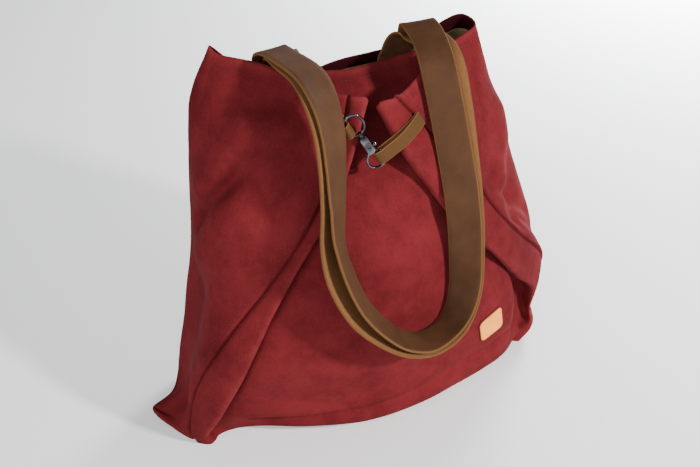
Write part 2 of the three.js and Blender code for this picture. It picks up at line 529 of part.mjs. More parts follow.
/** The swivel eye: an oval ring on a turned collar. */
function hookEye() {
  const points = Array.from({ length: EYE_STEPS }, (_, i) => {
    const a = (i / EYE_STEPS) * 2 * Math.PI;
    return V(EYE_RADIUS * Math.cos(a), eyeHeight + EYE_LENGTH * Math.sin(a), 0);
  });
  const ring = ringTube(points, WIRE_RADIUS);
  const collar = new THREE.CylinderGeometry(COLLAR_RADIUS * 0.75, COLLAR_RADIUS, COLLAR_LENGTH, 16)
    .translate(0, collarFoot + COLLAR_LENGTH / 2, 0);
  return geometryOf(fused(ring, collar));
}

/** Closed round tube through points that lie in the hook's plane. */
function ringTube(points, radius) {
  const n = points.length, m = WIRE_SIDES, all = [], triangles = [];
  points.forEach((p, i) => {
    const run = unit(plus(points[(i + 1) % n], points[(i + n - 1) % n], -1));
    const out = V(run.y, -run.x, 0);
    for (let k = 0; k < m; k++) {
      const a = (k / m) * 2 * Math.PI;
      all.push(plus(plus(p, out, radius * Math.cos(a)), V(0, 0, 1), radius * Math.sin(a)));
    }
    triangles.push(...strip(i * m, ((i + 1) % n) * m, m, true, false));
  });
  return meshOf(all, triangles);
}

/**
 * A leather loop from a seam, round a wire and back. inside points from the wire into its ring and
 * back is how far the loop's end lies that way; ease widens its second half, spread opens its layers
 * and arch lifts them off the seam.
 */
function loopTab({ root, rootLean, out, wireAt, inside, wireLean, back, ease, spread, arch }) {
  const layers = (TAB_THICKNESS + GAP) / 2, reach = plus(root, wireAt, -1), path = [];
  const hug = WIRE_RADIUS + WIRE_EASE + GAP + TAB_THICKNESS / 2;
  const wireFace = unit(inside.clone().cross(wireLean)), rootFace = unit(rootLean.clone().cross(reach));
  const layer = (f, lift, height) => ({
    at: plus(plus(plus(wireAt, reach, f), unit(along(wireFace, rootFace, f)), lift), out, height),
    lean: along(wireLean, rootLean, f),
  });
  const stages = [[1, layers, 0], [0.75, spread * 0.6, arch * 0.7], [0.4, spread, arch],
    [0.12, hug + GAP, arch * 0.3]];
  const ends = [[0.5, hug], [0.86, hug * 0.7], [1, -ease / 2], [0.86, -hug * 0.7 - ease],
    [0.5, -hug - ease]];
  for (const [f, lift, height] of stages) path.push(layer(f, lift, height));
  for (const [share, lift] of ends) {
    path.push({ at: plus(plus(wireAt, inside, back * share), wireFace, lift), lean: wireLean });
  }
  for (const [f, lift, height] of stages.reverse()) path.push(layer(f, -lift - ease * (1 - f), height));
  return ribbon(path, TAB_WIDTH, TAB_THICKNESS, TAB_THICKNESS / 5, 2);
}

/** Way along a seam's groove, downwards. */
const seamWay = (u, v) => unit(plus(surface(u, v - 0.1), surface(u, v + 0.1), -1));

function rightTab() {
  const out = shellNormal(GROOVE, RIGHT_TAB_ROOT);
  return loopTab({
    root: surface(GROOVE, RIGHT_TAB_ROOT, -(SEAM_DEPTH + TAB_THICKNESS + 3 * GAP)), out,
    rootLean: seamWay(GROOVE, RIGHT_TAB_ROOT), wireAt: inHook(CLAW_RADIUS, 0),
    inside: acrossHook.clone().negate(), wireLean: upHook.clone().negate(),
    back: CLAW_RADIUS * 0.98, ease: 0, spread: TAB_SPREAD, arch: TAB_ARCH,
  });
}

function leftTab() {
  const out = shellNormal(RING - GROOVE, LEFT_TAB_ROOT);
  return loopTab({
    root: plus(leftSeam, out, SEAM_DEPTH + 7 * GAP), out,
    rootLean: seamWay(RING - GROOVE, LEFT_TAB_ROOT), wireAt: inHook(-EYE_RADIUS, eyeHeight),
    inside: unit(plus(acrossHook, leftOut, 0.6)), wireLean: upHook.clone().negate(),
    back: EYE_RADIUS * 0.66, ease: TAB_EASE, spread: TAB_SPREAD * 0.86, arch: 0,
  });
}

/** Leather patch on the front panel, round at its corners. */
function leatherLabel() {
  const { u, v } = LABEL_AT, tilt = rad(LABEL_AT.tilt), lift = GAP * 3, step = 0.1;
  const perU = surface(u + step, v).distanceTo(surface(u - step, v)) / (2 * step);
  const perV = surface(u, v + step).distanceTo(surface(u, v - step)) / (2 * step);
  const at = (x, y, depth) => surface(u - (x * Math.cos(tilt) - y * Math.sin(tilt)) / perU,
    v + (x * Math.sin(tilt) + y * Math.cos(tilt)) / perV, depth);
  const rim = [], w = LABEL_WIDTH / 2 - LABEL_CORNER, h = LABEL_HEIGHT / 2 - LABEL_CORNER;
  for (const [sx, sy, from] of [[1, 1, 0], [-1, 1, 90], [-1, -1, 180], [1, -1, 270]]) {
    for (let k = 0; k <= 3; k++) {
      const a = rad(from + k * 30);
      rim.push([sx * w + LABEL_CORNER * Math.cos(a), sy * h + LABEL_CORNER * Math.sin(a)]);
    }
  }
  const rings = [0.25, 0.5, 0.75, 1], n = rim.length, points = [], triangles = [];
  for (const depth of [-lift - LABEL_THICKNESS, -lift]) {
    points.push(at(0, 0, depth));
    for (const r of rings) for (const [x, y] of rim) points.push(at(x * r, y * r, depth));
  }
  const other = 1 + rings.length * n;
  for (const [first, flip] of [[0, false], [other, true]]) {
    for (let i = 0; i < n; i++) {
      const fan = [first, first + 1 + i, first + 1 + ((i + 1) % n)];
      triangles.push(flip ? [fan[0], fan[2], fan[1]] : fan);
    }
    for (let r = 0; r < rings.length - 1; r++) {
      triangles.push(...strip(first + 1 + r * n, first + 1 + (r + 1) * n, n, true, flip));
    }
  }
  triangles.push(...strip(other - n, points.length - n, n, true, false));
  return meshOf(points, triangles);
}

const finish = (color, roughness, metalness = 0) => new THREE.MeshStandardMaterial(
  { color, roughness, metalness });
const CLOTH = finish(0x9e3237, 0.92);
const LINING_CLOTH = finish(0x8c7850, 0.85);
const STRAP_LEATHER = finish(0x7b5a3a, 0.55);
const TAB_LEATHER = finish(0x95693f, 0.6);
const LABEL_LEATHER = finish(0xdd9464, 0.6);
const GUNMETAL = finish(0x55565c, 0.28, 1);

/** A named piece of the bag. */
function piece(name, geometry, material) {
  const mesh = new THREE.Mesh(geometry, material);
  mesh.name = name;
  return mesh;
}

const hook = new THREE.Group();
hook.position.copy(hookAt);
hook.quaternion.setFromRotationMatrix(new THREE.Matrix4().makeBasis(acrossHook, upHook, frontHook));
hook.add(piece('hook_body', hookBody(), GUNMETAL), piece('hook_gate', hookGate(), GUNMETAL),
  piece('hook_eye', hookEye(), GUNMETAL));

const bag = new THREE.Group();
bag.add(
  piece('bag_body', bagBody(), CLOTH),
  piece('lining_strip', insidePatch(LINING, WALL + GAP, WALL + GAP + LINING_WALL), LINING_CLOTH),
  piece('strap_back', backStrap(), STRAP_LEATHER),
  piece('strap_front', frontStrap(), STRAP_LEATHER),
  piece('hook_tab', leftTab(), TAB_LEATHER),
  piece('loop_tab', rightTab(), TAB_LEATHER),
  piece('leather_label', leatherLabel(), LABEL_LEATHER),
  hook,
);

export default bag;
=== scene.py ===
"""The clipped leather tote: its brushed cloth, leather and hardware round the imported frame."""
import logging
import math
from dataclasses import dataclass, field
from enum import Enum
from typing import Any, Callable, Sequence

import bmesh
import bpy
import numpy as np
from mathutils import Matrix, Vector, noise


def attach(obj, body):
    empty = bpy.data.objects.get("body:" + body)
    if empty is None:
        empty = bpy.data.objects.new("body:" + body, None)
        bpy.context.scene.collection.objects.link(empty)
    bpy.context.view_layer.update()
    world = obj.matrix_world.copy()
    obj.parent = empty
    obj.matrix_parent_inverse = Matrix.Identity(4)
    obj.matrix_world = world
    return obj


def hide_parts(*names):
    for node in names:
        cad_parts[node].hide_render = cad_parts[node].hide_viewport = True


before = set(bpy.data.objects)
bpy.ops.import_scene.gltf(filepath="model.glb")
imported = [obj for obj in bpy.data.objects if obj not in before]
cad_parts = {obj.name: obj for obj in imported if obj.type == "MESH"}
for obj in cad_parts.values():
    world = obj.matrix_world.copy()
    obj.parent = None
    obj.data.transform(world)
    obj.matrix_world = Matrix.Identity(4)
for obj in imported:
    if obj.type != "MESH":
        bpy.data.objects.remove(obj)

log = logging.getLogger("tote")
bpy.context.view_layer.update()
Array = np.ndarray
MM = 0.001

# Bag, in millimetres: +X to its right, front towards -Y, origin on the floor under its middle
HALF_WIDTH = 200.0
DEPTH = 160.0
HEIGHT = 330.0
WALL = 1.6
SEAM_HALF = 3.5
SEAM_DEPTH = 2.5
FOLD = 7.0
GAP = 0.3
LINING_WALL = 1.0
STRAP_WIDTH = 30.0
STRAP_THICKNESS = 2.6
ROOT_EASE = 0.9
TAB_WIDTH = 12.0
TAB_THICKNESS = 1.5
LABEL_WIDTH = 30.0
LABEL_HEIGHT = 27.0
LABEL_THICKNESS = 1.2
LABEL_CORNER = 5.0

# Stations round half of the bag, and the fine mesh's steps from each one to the next
STATIONS = ("backMid", "quarter", "corner", "side", "wing", "lip", "groove", "band", "ridge",
            "nose", "tuck", "edge", "panelQuarter", "panelMid")
FINE_STEPS = (16, 16, 14, 18, 22, 5, 5, 9, 6, 8, 10, 16, 18)
HALF = len(STATIONS) - 1
RING = 2 * HALF
GROOVE = STATIONS.index("groove")
ROWS_PER_LEVEL = 18

# Levels: name, height of the front's and of the back's line (of HEIGHT), place of the back's and
# of the panel's middle (of DEPTH), swell of the panel's quarters (of DEPTH), share of the rim's lift
LEVELS = (
    ("base", 0, 0, 0.36, -0.455, 0.031, 0),
    ("toe", 0.04, 0.04, 0.39, -0.57, 0.044, 0),
    ("foot", 0.1, 0.1, 0.4, -0.605, 0.044, 0),
    ("heel", 0.19, 0.19, 0.4, -0.585, 0.044, 0),
    ("low", 0.31, 0.31, 0.39, -0.62, 0.044, 0),
    ("waist", 0.46, 0.46, 0.37, -0.6, 0.044, 0),
    ("chest", 0.62, 0.625, 0.33, -0.53, 0.031, 0.1),
    ("neck", 0.76, 0.78, 0.29, -0.385, 0.012, 0.25),
    ("collar", 0.885, 0.91, 0.265, -0.12, -0.019, 0.55),
    ("rim", 0.995, 1, 0.24, 0.12, -0.012, 1),
)
TOP = len(LEVELS) - 1

# Each side, a row for each level: out (of HALF_WIDTH) and fore (of DEPTH) of a station; the tuck
# is placed from the ridge, reach back under the wing and deep into the bag (both of DEPTH)
SIDE_COLUMNS = ("cornerOut", "cornerFore", "sideOut", "sideFore", "wingOut", "wingFore",
                "seamOut", "seamFore", "ridgeOut", "ridgeFore", "tuckReach", "tuckDeep",
                "edgeOut", "edgeFore")
RIGHT_SIDE = (
    (0.76, 0.3, 0.9, 0.1, 0.95, -0.01, 0.95, -0.09, 0.9, -0.17, -0.03, 0.075, 0.74, -0.27),
    (0.82, 0.31, 0.97, 0.1, 1.02, 0.01, 1.03, -0.04, 0.97, -0.15, -0.04, 0.09, 0.76, -0.3),
    (0.83, 0.33, 0.97, 0.12, 1.01, 0.05, 1, 0, 0.97, -0.11, -0.02, 0.12, 0.76, -0.31),
    (0.82, 0.34, 0.98, 0.18, 1.05, 0.09, 1.06, 0.02, 0.97, -0.13, -0.02, 0.16, 0.75, -0.34),
    (0.8, 0.34, 1.01, 0.09, 1.02, 0, 1.005, -0.08, 0.81, -0.26, 0.03, 0.11, 0.735, -0.32),
    (0.76, 0.33, 0.94, 0.09, 0.88, -0.14, 0.8, -0.23, 0.62, -0.375, 0.13, 0.075, 0.575, -0.315),
    (0.71, 0.31, 0.84, 0.08, 0.72, -0.18, 0.585, -0.325, 0.39, -0.42, 0.22, 0.07, 0.36, -0.36),
    (0.65, 0.29, 0.75, 0.08, 0.61, -0.17, 0.43, -0.33, 0.23, -0.41, 0.3, 0.07, 0.21, -0.345),
    (0.6, 0.27, 0.66, 0.09, 0.49, -0.12, 0.255, -0.29, 0.105, -0.365, 0.45, 0.075, 0.25, -0.15),
    (0.56, 0.23, 0.6, 0.14, 0.39, -0.01, 0.105, -0.25, 0.02, -0.28, 0.55, 0.08, 0.34, 0.125),
)
LEFT_SIDE = (
    (0.76, 0.3, 0.9, 0.1, 0.99, -0.03, 0.88, -0.3, 0.81, -0.36, 0.01, 0.08, 0.66, -0.29),
    (0.82, 0.31, 0.93, 0.1, 1.04, -0.03, 0.9, -0.29, 0.84, -0.38, 0.03, 0.08, 0.67, -0.34),
    (0.82, 0.33, 0.88, 0.1, 0.9, -0.08, 0.885, -0.28, 0.82, -0.43, 0.06, 0.075, 0.68, -0.4),
    (0.79, 0.34, 0.84, 0.1, 0.86, -0.12, 0.86, -0.31, 0.77, -0.49, 0.09, 0.07, 0.69, -0.445),
    (0.76, 0.34, 0.79, 0.08, 0.81, -0.16, 0.8, -0.385, 0.68, -0.53, 0.11, 0.065, 0.625, -0.5),
    (0.72, 0.33, 0.74, 0.06, 0.75, -0.2, 0.65, -0.435, 0.56, -0.525, 0.15, 0.07, 0.51, -0.48),
    (0.69, 0.31, 0.72, 0.06, 0.66, -0.23, 0.435, -0.44, 0.395, -0.49, 0.22, 0.07, 0.355, -0.425),
    (0.67, 0.29, 0.71, 0.06, 0.6, -0.2, 0.275, -0.41, 0.225, -0.435, 0.3, 0.07, 0.2, -0.36),
    (0.65, 0.27, 0.69, 0.09, 0.53, -0.11, 0.175, -0.335, 0.125, -0.37, 0.45, 0.075, 0.25, -0.15),
    (0.58, 0.2, 0.57, 0.16, 0.4, 0.045, 0.105, -0.235, 0.04, -0.28, 0.55, 0.08, 0.34, 0.125),
)

# At the rim: how much of their depth the folds lose, and how far their noses hang, in millimetres
PINCH = 0.45
NOSE_DROP = 7.0

# The back's quarter: out and fore on the way from its middle to the corner, and its swell (of
# DEPTH); the depth over which a level's line climbs from its front to its back (of DEPTH)
QUARTER_OUT = 0.55
QUARTER_FORE = 0.38
QUARTER_SWELL = 0.0125
CLIMB = 0.75

# How far each station's rim stands above the level's line, left and right (of HEIGHT)
RIM_LIFT = {
    "backMid": (0, 0), "quarter": (-0.03, 0.02), "corner": (0.105, 0.08), "side": (0.095, 0.07),
    "wing": (0.075, 0.05), "seam": (0.025, 0.005), "ridge": (0.025, 0.005),
    "tuck": (-0.01, -0.02), "edge": (0.015, 0.015), "panelMid": (0, 0),
}

# Creases and swells of the cloth, from one place (station, level) to another: width in stations,
# depth inward (of FOLD), minus for a swell; the first nine are the frame's own
CREASE_COLUMNS = ("u0", "v0", "u1", "v1", "width", "depth")
CREASES = (
    (22.95, 6.0, 21.9, 7.5, 0.2, 0.9),
    (22.6, 6.75, 21.7, 8.3, 0.35, -0.8),
    (22.9, 5.4, 21.9, 6.6, 0.35, -0.7),
    (3.6, 6.3, 4.6, 5.4, 0.3, 0.8),
    (3.2, 7.2, 4.2, 6.2, 0.35, -0.6),
    (14.6, 1.6, 11.2, 2.35, 0.28, 0.9),
    (13.6, 2.6, 15.4, 3.3, 0.5, 0.5),
    (24.6, 2.2, 25.6, 3.4, 0.4, 0.8),
    (0.4, 4.6, 2.2, 2.4, 0.4, 0.8),
    (23.05, 6.0, 22.0, 7.3, 0.12, 1.1),
    (23.0, 5.3, 21.5, 6.9, 0.45, -0.8),
    (22.3, 8.35, 21.6, 8.5, 0.25, 0.7),
    (21.9, 8.1, 21.5, 7.4, 0.35, -0.7),
    (22.9, 1.4, 22.9, 5.0, 0.8, 1.3),
    (21.9, 2.6, 21.6, 1.3, 0.4, 1.1),
    (22.9, 8.4, 22.9, 7.7, 0.5, 0.9),
    (9.7, 3.5, 9.1, 2.1, 0.42, 1.5),
    (4.6, 6.5, 3.6, 5.2, 0.18, 0.7),
    (4.1, 5.2, 3.5, 4.4, 0.25, 0.6),
    (8.6, 1.7, 9.4, 1.2, 0.3, 0.9),
)

# Lining strip, strap roots, tab roots and label: stations (u) and levels (v)
LINING_FROM, LINING_TO = (-2.0, 8.0), (3.0, 9 - 1 / 3)
BACK_ROOT = (1.0, (8.0, 8.4, 8.8))
FRONT_ROOT = (11.7, (8.6, 8.8, 9.0))
LEFT_TAB_ROOT = 8.52
RIGHT_TAB_ROOT = 8.36
LABEL_AT = (11.5, 3.42)
LABEL_TILT = 14.0

# Free run of the back strap from its right root over the front to its left root: place (of
# HALF_WIDTH, DEPTH, HEIGHT), the way across its width, and the front strap's slide along that way
# and drop behind it (of STRAP_WIDTH) and turn about the run (degrees)
PLACE, ACROSS, SLIDE, DROP, TURN = slice(0, 3), slice(3, 6), slice(6, 7), slice(7, 8), slice(8, 9)
STRAP_RUN = (
    (0.325, 0.194, 1.055, 0.98, -0.15, 0.05, -0.42, 0.29, 0),
    (0.322, 0.156, 1.092, 0.96, -0.23, 0.14, -0.2, 0.37, 0),
    (0.32, 0, 1.087, 0.95, -0.28, 0.1, 0.15, 0.22, 0),
    (0.305, -0.165, 1.058, 0.94, -0.34, 0.02, 0.28, 0.17, 0),
    (0.315, -0.285, 0.963, 0.92, -0.38, -0.05, 0.25, 0.16, 0),
    (0.33, -0.388, 0.855, 0.93, -0.36, 0, 0.18, 0.15, 0),
    (0.35, -0.478, 0.728, 0.91, -0.41, 0.05, 0.1, 0.15, 0),
    (0.368, -0.53, 0.575, 0.82, -0.54, 0.18, 0.05, 0.15, 0),
    (0.35, -0.598, 0.457, 0.66, -0.68, 0.3, 0, 0.16, 0),
    (0.282, -0.655, 0.386, 0.4, -0.88, 0.24, 0, 0.17, 0),
    (0.16, -0.705, 0.366, 0.15, -0.98, 0.08, 0, 0.17, 0),
    (0.042, -0.74, 0.4, -0.1, -0.99, 0.05, 0, 0.19, 3),
    (-0.068, -0.756, 0.466, -0.32, -0.93, 0.15, 0, 0.24, 10),
    (-0.165, -0.733, 0.55, -0.48, -0.82, 0.3, 0.02, 0.3, 20),
    (-0.222, -0.67, 0.643, -0.53, -0.72, 0.44, 0.02, 0.33, 22),
    (-0.24, -0.598, 0.715, -0.53, -0.66, 0.53, 0.03, 0.28, 14),
    (-0.236, -0.55, 0.815, -0.6, -0.6, 0.52, 0.07, 0.2, 5),
    (-0.235, -0.515, 0.91, -0.71, -0.54, 0.45, 0.1, 0.16, 0),
    (-0.232, -0.455, 0.992, -0.82, -0.47, 0.3, 0.1, 0.16, 0),
    (-0.24, -0.36, 1.05, -0.86, -0.49, 0.14, 0.08, 0.17, 0),
    (-0.258, -0.205, 1.086, -0.84, -0.53, 0.02, 0.04, 0.16, 0),
    (-0.308, -0.05, 1.098, -0.78, -0.6, 0.1, -0.06, 0.17, 0),
    (-0.345, 0.1, 1.09, -0.88, -0.42, 0.12, -0.24, 0.19, 0),
    (-0.333, 0.196, 1.03, -0.98, -0.1, 0.05, -0.37, 0.155, 0),
)

# Snap hook
EYE_RADIUS = 8.0
EYE_LENGTH = 9.5
WIRE_RADIUS = 1.15
COLLAR_RADIUS = 2.3
COLLAR_LENGTH = 4.5
BLOCK_WIDTH = 7.0
BLOCK_LENGTH = 17.0
BLOCK_THICKNESS = 4.4
CLAW_RADIUS = 8.0
CLAW_ROOT = 108.0
CLAW_TIP = 17.0
GATE_ROOT = 66.0
PLATE = 1.6
PIN_RADIUS = 0.8
PIN_HEIGHT = 5.0
BOSS_WALL = 0.9
KNOB_RADIUS = 1.7
KNOB_RISE = 0.9
TIP_CLEARANCE = 1.2
HOOK_TURN = 29.6
HOOK_PITCH = 7.0
TAB_REACH = 16.0
TAB_EASE = 1.7
TAB_SPREAD = 3.0
TAB_ARCH = 4.0
WIRE_EASE = 0.7


def span(p0: Array, p1: Array, p2: Array, p3: Array, share: Array) -> Array:
    """Points at a share of the centripetal Catmull-Rom span from p1 to p2.

    Args:
        p0: points before the span.
        p1: points at its start.
        p2: points at its end.
        p3: points after it.
        share: how far along it each point lies.

    Returns:
        The points, one row each.
    """
    f = np.asarray(share, float)[..., None]

    def knot(a: Array, b: Array) -> Array:
        """Chord length to the power of a half, never nothing."""
        return np.maximum(np.sqrt(np.linalg.norm(b - a, axis=-1, keepdims=True)), 1e-4)

    d1, d2, d3 = knot(p0, p1), knot(p1, p2), knot(p2, p3)
    m1 = d2 * ((p1 - p0) / d1 - (p2 - p0) / (d1 + d2) + (p2 - p1) / d2)
    m2 = d2 * ((p2 - p1) / d2 - (p3 - p1) / (d2 + d3) + (p3 - p2) / d3)
    f2, f3 = f * f, f * f * f
    places = (2 * f3 - 3 * f2 + 1) * p1 + (3 * f2 - 2 * f3) * p2
    return places + (f3 - 2 * f2 + f) * m1 + (f3 - f2) * m2


def open_span(points: Array, t: Array) -> Array:
    """Points t spans along an open row of points.

    Args:
        points: the row.
        t: how many spans along it each place lies.

    Returns:
        The points at those places.
    """
    padded = np.concatenate([[2 * points[0] - points[1]], points, [2 * points[-1] - points[-2]]])
    t = np.asarray(t, float)
    i = np.clip(np.floor(t).astype(int), 0, len(points) - 2)
    return span(padded[i], padded[i + 1], padded[i + 2], padded[i + 3], t - i)


def unit(v: Array) -> Array:
    """Vectors at length one."""
    return v / np.maximum(np.linalg.norm(v, axis=-1, keepdims=True), 1e-9)


def bump_at(distance: Array, width: float) -> Array:
    """A round hump, one high at no distance."""
    return np.exp(-(distance / width) ** 2)


def around(u: Array, station: float) -> Array:
    """Stations past one of them, the short way round."""
    return (u - station + HALF) % RING - HALF


class Body(Enum):
    """What a piece rides on."""

    BAG = "bag"
    GATE = "gate"


class Slot(Enum):
    """Where a piece takes its finish from."""

    CLOTH = "cloth"
    LINING = "lining"
    STRAP = "strap_leather"
    TAB = "tab_leather"
    HARDWARE = "hardware"
    LABEL = "label_leather"


class Axis(Enum):
    """What a turned form of the hook turns about."""

    FRONT = "front"
    LENGTH = "length"


@dataclass
class ShellForm:
    """The outside of the bag as a surface of stations u and levels v."""

    net: Array = field(init=False)
    ripple: float = 0.55
    ripple_length: float = 46.0
    echo: float = 0.45
    echo_scale: float = 2.7

    def __post_init__(self) -> None:
        """Works out the points where stations and levels cross."""
        rows = [self._level_points(i) for i in range(len(LEVELS))]
        padded = [2 * rows[0] - rows[1], *rows, 2 * rows[-1] - rows[-2]]
        self.net = np.array(padded)

    def _level_points(self, i: int) -> Array:
        """All stations of one level, from the middle of the back round by the right.

        Args:
            i: the level.

        Returns:
            One point for each station of the ring.
        """
        _, front, back, back_fore, mid_fore, bulge, lift = LEVELS[i]

        def height(y: float) -> float:
            """Height of the level's line at a place between the front and the back."""
            return HEIGHT * (front + (back - front) * (y / DEPTH / CLIMB + 0.5))

        def middle(fore: float) -> Array:
            """A point in the bag's middle plane."""
            return np.array([0, fore * DEPTH, height(fore * DEPTH)])

        ends = middle(back_fore), middle(mid_fore)
        right = self._side_points(RIGHT_SIDE[i], 1, height, *ends, bulge, lift)
        left = self._side_points(LEFT_SIDE[i], 0, height, *ends, bulge, lift)
        return np.array([ends[0], *right, ends[1], *left[::-1]])

    @staticmethod
    def _side_points(row: Sequence[float], column: int, height: Callable[[float], float],
                     back: Array, middle: Array, bulge: float, lift: float) -> list[Array]:
        """One side's stations at a level, from the quarter to the panel's quarter.

        Args:
            row: the side's shares at this level.
            column: 1 on the right, 0 on the left.
            height: height of the level's line at a depth.
            back: the middle of the back.
            middle: the middle of the panel.
            bulge: swell of the panel's quarter.
            lift: share of the rim's lift.

        Returns:
            Twelve points.
        """
        share = dict(zip(SIDE_COLUMNS, row))
        sign = 1 if column else -1

        def at(x: float, y: float, station: str) -> Array:
            """A point at the level's height plus the station's lift."""
            return np.array([x, y, height(y) + RIM_LIFT[station][column] * HEIGHT * lift])

        places = [at(sign * share[s + "Out"] * HALF_WIDTH, share[s + "Fore"] * DEPTH, s)
                  for s in ("corner", "side", "wing", "seam", "ridge", "edge")]
        corner, side, wing, seam, ridge, edge = places
        run = unit((ridge - wing) * (1, 1, 0))
        inward = np.array([run[1] * sign, -run[0] * sign, 0])
        pinch = 1 - PINCH * lift ** 2
        flat = ridge - run * share["tuckReach"] * DEPTH + inward * share["tuckDeep"] * DEPTH * pinch
        tuck = at(flat[0], flat[1], "tuck")
        nose = ridge + inward * FOLD * pinch - np.array([0, 0, NOSE_DROP * lift])
        swell = QUARTER_SWELL * DEPTH * (1 - lift / 2)
        quarter = np.array([QUARTER_OUT * corner[0],
                            back[1] + QUARTER_FORE * (corner[1] - back[1]) + swell,
                            back[2] + RIM_LIFT["quarter"][column] * HEIGHT * lift])
        forward = unit(np.array([-(middle[1] - edge[1]), middle[0] - edge[0], 0]))
        forward = -forward if forward[1] > 0 else forward
        panel_quarter = (edge + middle) / 2 + forward * bulge * DEPTH
        return [quarter, corner, side, wing, seam - run * SEAM_HALF, seam + inward * SEAM_DEPTH,
                seam + run * SEAM_HALF, ridge, nose, tuck, edge, panel_quarter]

    def _line(self, station: Array, v: Array) -> Array:
        """Points up the lines of whole stations.

        Args:
            station: whole stations.
            v: levels.

        Returns:
            The points where they cross.
        """
        j = np.clip(np.floor(v).astype(int), 0, TOP - 1)
        four = [self.net[j + k, station] for k in range(4)]
        return span(*four, v - j)

    def smooth(self, u: Array, v: Array) -> Array:
        """The shell before its creases.

        Args:
            u: stations.
            v: levels.

        Returns:
            Points in millimetres.
        """
        u, v = np.broadcast_arrays(np.asarray(u, float), np.asarray(v, float))
        i = np.floor(u).astype(int)
        return span(*[self._line((i + k) % RING, v) for k in (-1, 0, 1, 2)], u - i)

    def normal(self, u: Array, v: Array) -> Array:
        """Outward normals.

        Args:
            u: stations.
            v: levels.

        Returns:
            Vectors of length one.
        """
        h = 0.04
        u, v = np.asarray(u, float), np.asarray(v, float)
        across = self.smooth(u + h, v) - self.smooth(u - h, v)
        up = self.smooth(u, np.minimum(v + h, TOP)) - self.smooth(u, np.maximum(v - h, 0))
        return unit(np.cross(up, across))

    @staticmethod
    def creases(u: Array, v: Array) -> Array:
        """How far the cloth is pushed out by its creases and swells.

        Args:
            u: stations.
            v: levels.

        Returns:
            Millimetres outward at each place.
        """
        out = np.zeros(np.broadcast(u, v).shape)
        for row in CREASES:
            c = dict(zip(CREASE_COLUMNS, row))
            du, dv = c["u1"] - c["u0"], c["v1"] - c["v0"]
            length = math.hypot(du, dv)
            pu, pv = around(u, c["u0"]), v - c["v0"]
            s, t = (pu * du + pv * dv) / length, (pu * dv - pv * du) / length
            end = np.maximum(np.maximum(-s, s - length), 0)
            out -= c["depth"] * FOLD * bump_at(t, c["width"]) * bump_at(end, c["width"])
        return out * np.minimum(v, 1)

    def ripples(self, points: Array) -> Array:
        """Small slack of the cloth, from smooth noise at each point.

        Args:
            points: places on the cloth.

        Returns:
            Millimetres outward at each place.
        """
        flat = points.reshape(-1, 3) / self.ripple_length
        values = [noise.noise(Vector(p)) + self.echo * noise.noise(Vector(p) * self.echo_scale)
                  for p in flat]
        return np.array(values).reshape(points.shape[:-1]) * self.ripple

    def surface(self, u: Array, v: Array, depth: float = 0.0, fine: bool = True) -> Array:
        """The bag's surface at a depth inside its outer face.

        Args:
            u: stations.
            v: levels.
            depth: how far inside the outer face.
            fine: whether the small slack is added.

        Returns:
            Points in millimetres.
        """
        u, v = np.broadcast_arrays(np.asarray(u, float), np.asarray(v, float))
        base, out = self.smooth(u, v), self.creases(u, v) - depth
        if fine:
            out = out + self.ripples(base) * np.minimum(v, 1)
        return base + self.normal(u, v) * out[..., None]


SHELL = ShellForm()


def fine_stations(first: float, last: float, divide: int = 1) -> Array:
    """Stations at every fine step from one whole station to another, the last left out.

    Args:
        first: the first whole station.
        last: the last one.
        divide: how many times coarser the steps are.

    Returns:
        The stations.
    """
    out = []
    for s in range(int(first), int(last)):
        k = s % RING
        steps = FINE_STEPS[k] if k < HALF else FINE_STEPS[RING - 1 - k]
        steps = max(steps // divide, 1)
        out.extend(s + j / steps for j in range(steps))
    return np.array(out)


def quad_strip(n: int, m: int, closed: bool, first: int = 0, flip: bool = False) -> Array:
    """Quads of a grid of m rows of n points.

    Args:
        n: points in a row.
        m: rows.
        closed: whether a row runs round.
        first: index of the first point.
        flip: whether the faces turn over.

    Returns:
        One row of four indices for each face.
    """
    i = np.arange(n if closed else n - 1)
    j = np.arange(m - 1)[:, None]
    a, b = first + j * n + i, first + j * n + (i + 1) % n
    quads = np.stack([a, a + n, b + n, b], axis=-1).reshape(-1, 4)
    return quads[:, ::-1] if flip else quads


def new_piece(name: str, points: Array, faces: Sequence[Sequence[int]], uv: Array | None = None,
              smooth: bool = True, **attributes: Array) -> bpy.types.Object:
    """Makes a mesh object from millimetre points.

    Args:
        name: the piece's name.
        points: its points.
        faces: indices of each face.
        uv: a texture place for each point, in metres.
        smooth: whether its faces shade smoothly.
        **attributes: a number for each point, by name.

    Returns:
        The object, linked to the scene.
    """
    mesh = bpy.data.meshes.new(name)
    mesh.from_pydata((np.asarray(points) * MM).tolist(), [], [list(map(int, f)) for f in faces])
    mesh.update()
    if uv is not None:
        layer = mesh.uv_layers.new(name="Cloth")
        index = np.empty(len(mesh.loops), dtype=np.int32)
        mesh.loops.foreach_get("vertex_index", index)
        layer.data.foreach_set("uv", np.asarray(uv, np.float32)[index].ravel())
    for key, values in attributes.items():
        made = mesh.attributes.new(key, "FLOAT", "POINT")
        made.data.foreach_set("value", np.asarray(values, np.float32).ravel())
    mesh.shade_smooth() if smooth else mesh.shade_flat()
    piece = bpy.data.objects.new(name, mesh)
    bpy.context.scene.collection.objects.link(piece)
    return piece


def lengths(points: Array, axis: int) -> Array:
    """Running length along one axis of a grid of points, in metres.

    Args:
        points: the grid.
        axis: the way along it.

    Returns:
        A length for each point.
    """
    steps = np.linalg.norm(np.diff(points, axis=axis), axis=-1)
    zero = np.zeros_like(np.take(steps, [0], axis=axis))
    return np.cumsum(np.concatenate([zero, steps], axis=axis), axis=axis) * MM


def flat_place(grid: Array) -> Array:
    """Lengths round and up a grid of points: a texture place for each."""
    return np.stack([lengths(grid, 1), lengths(grid, 0)], axis=-1).reshape(-1, 2)


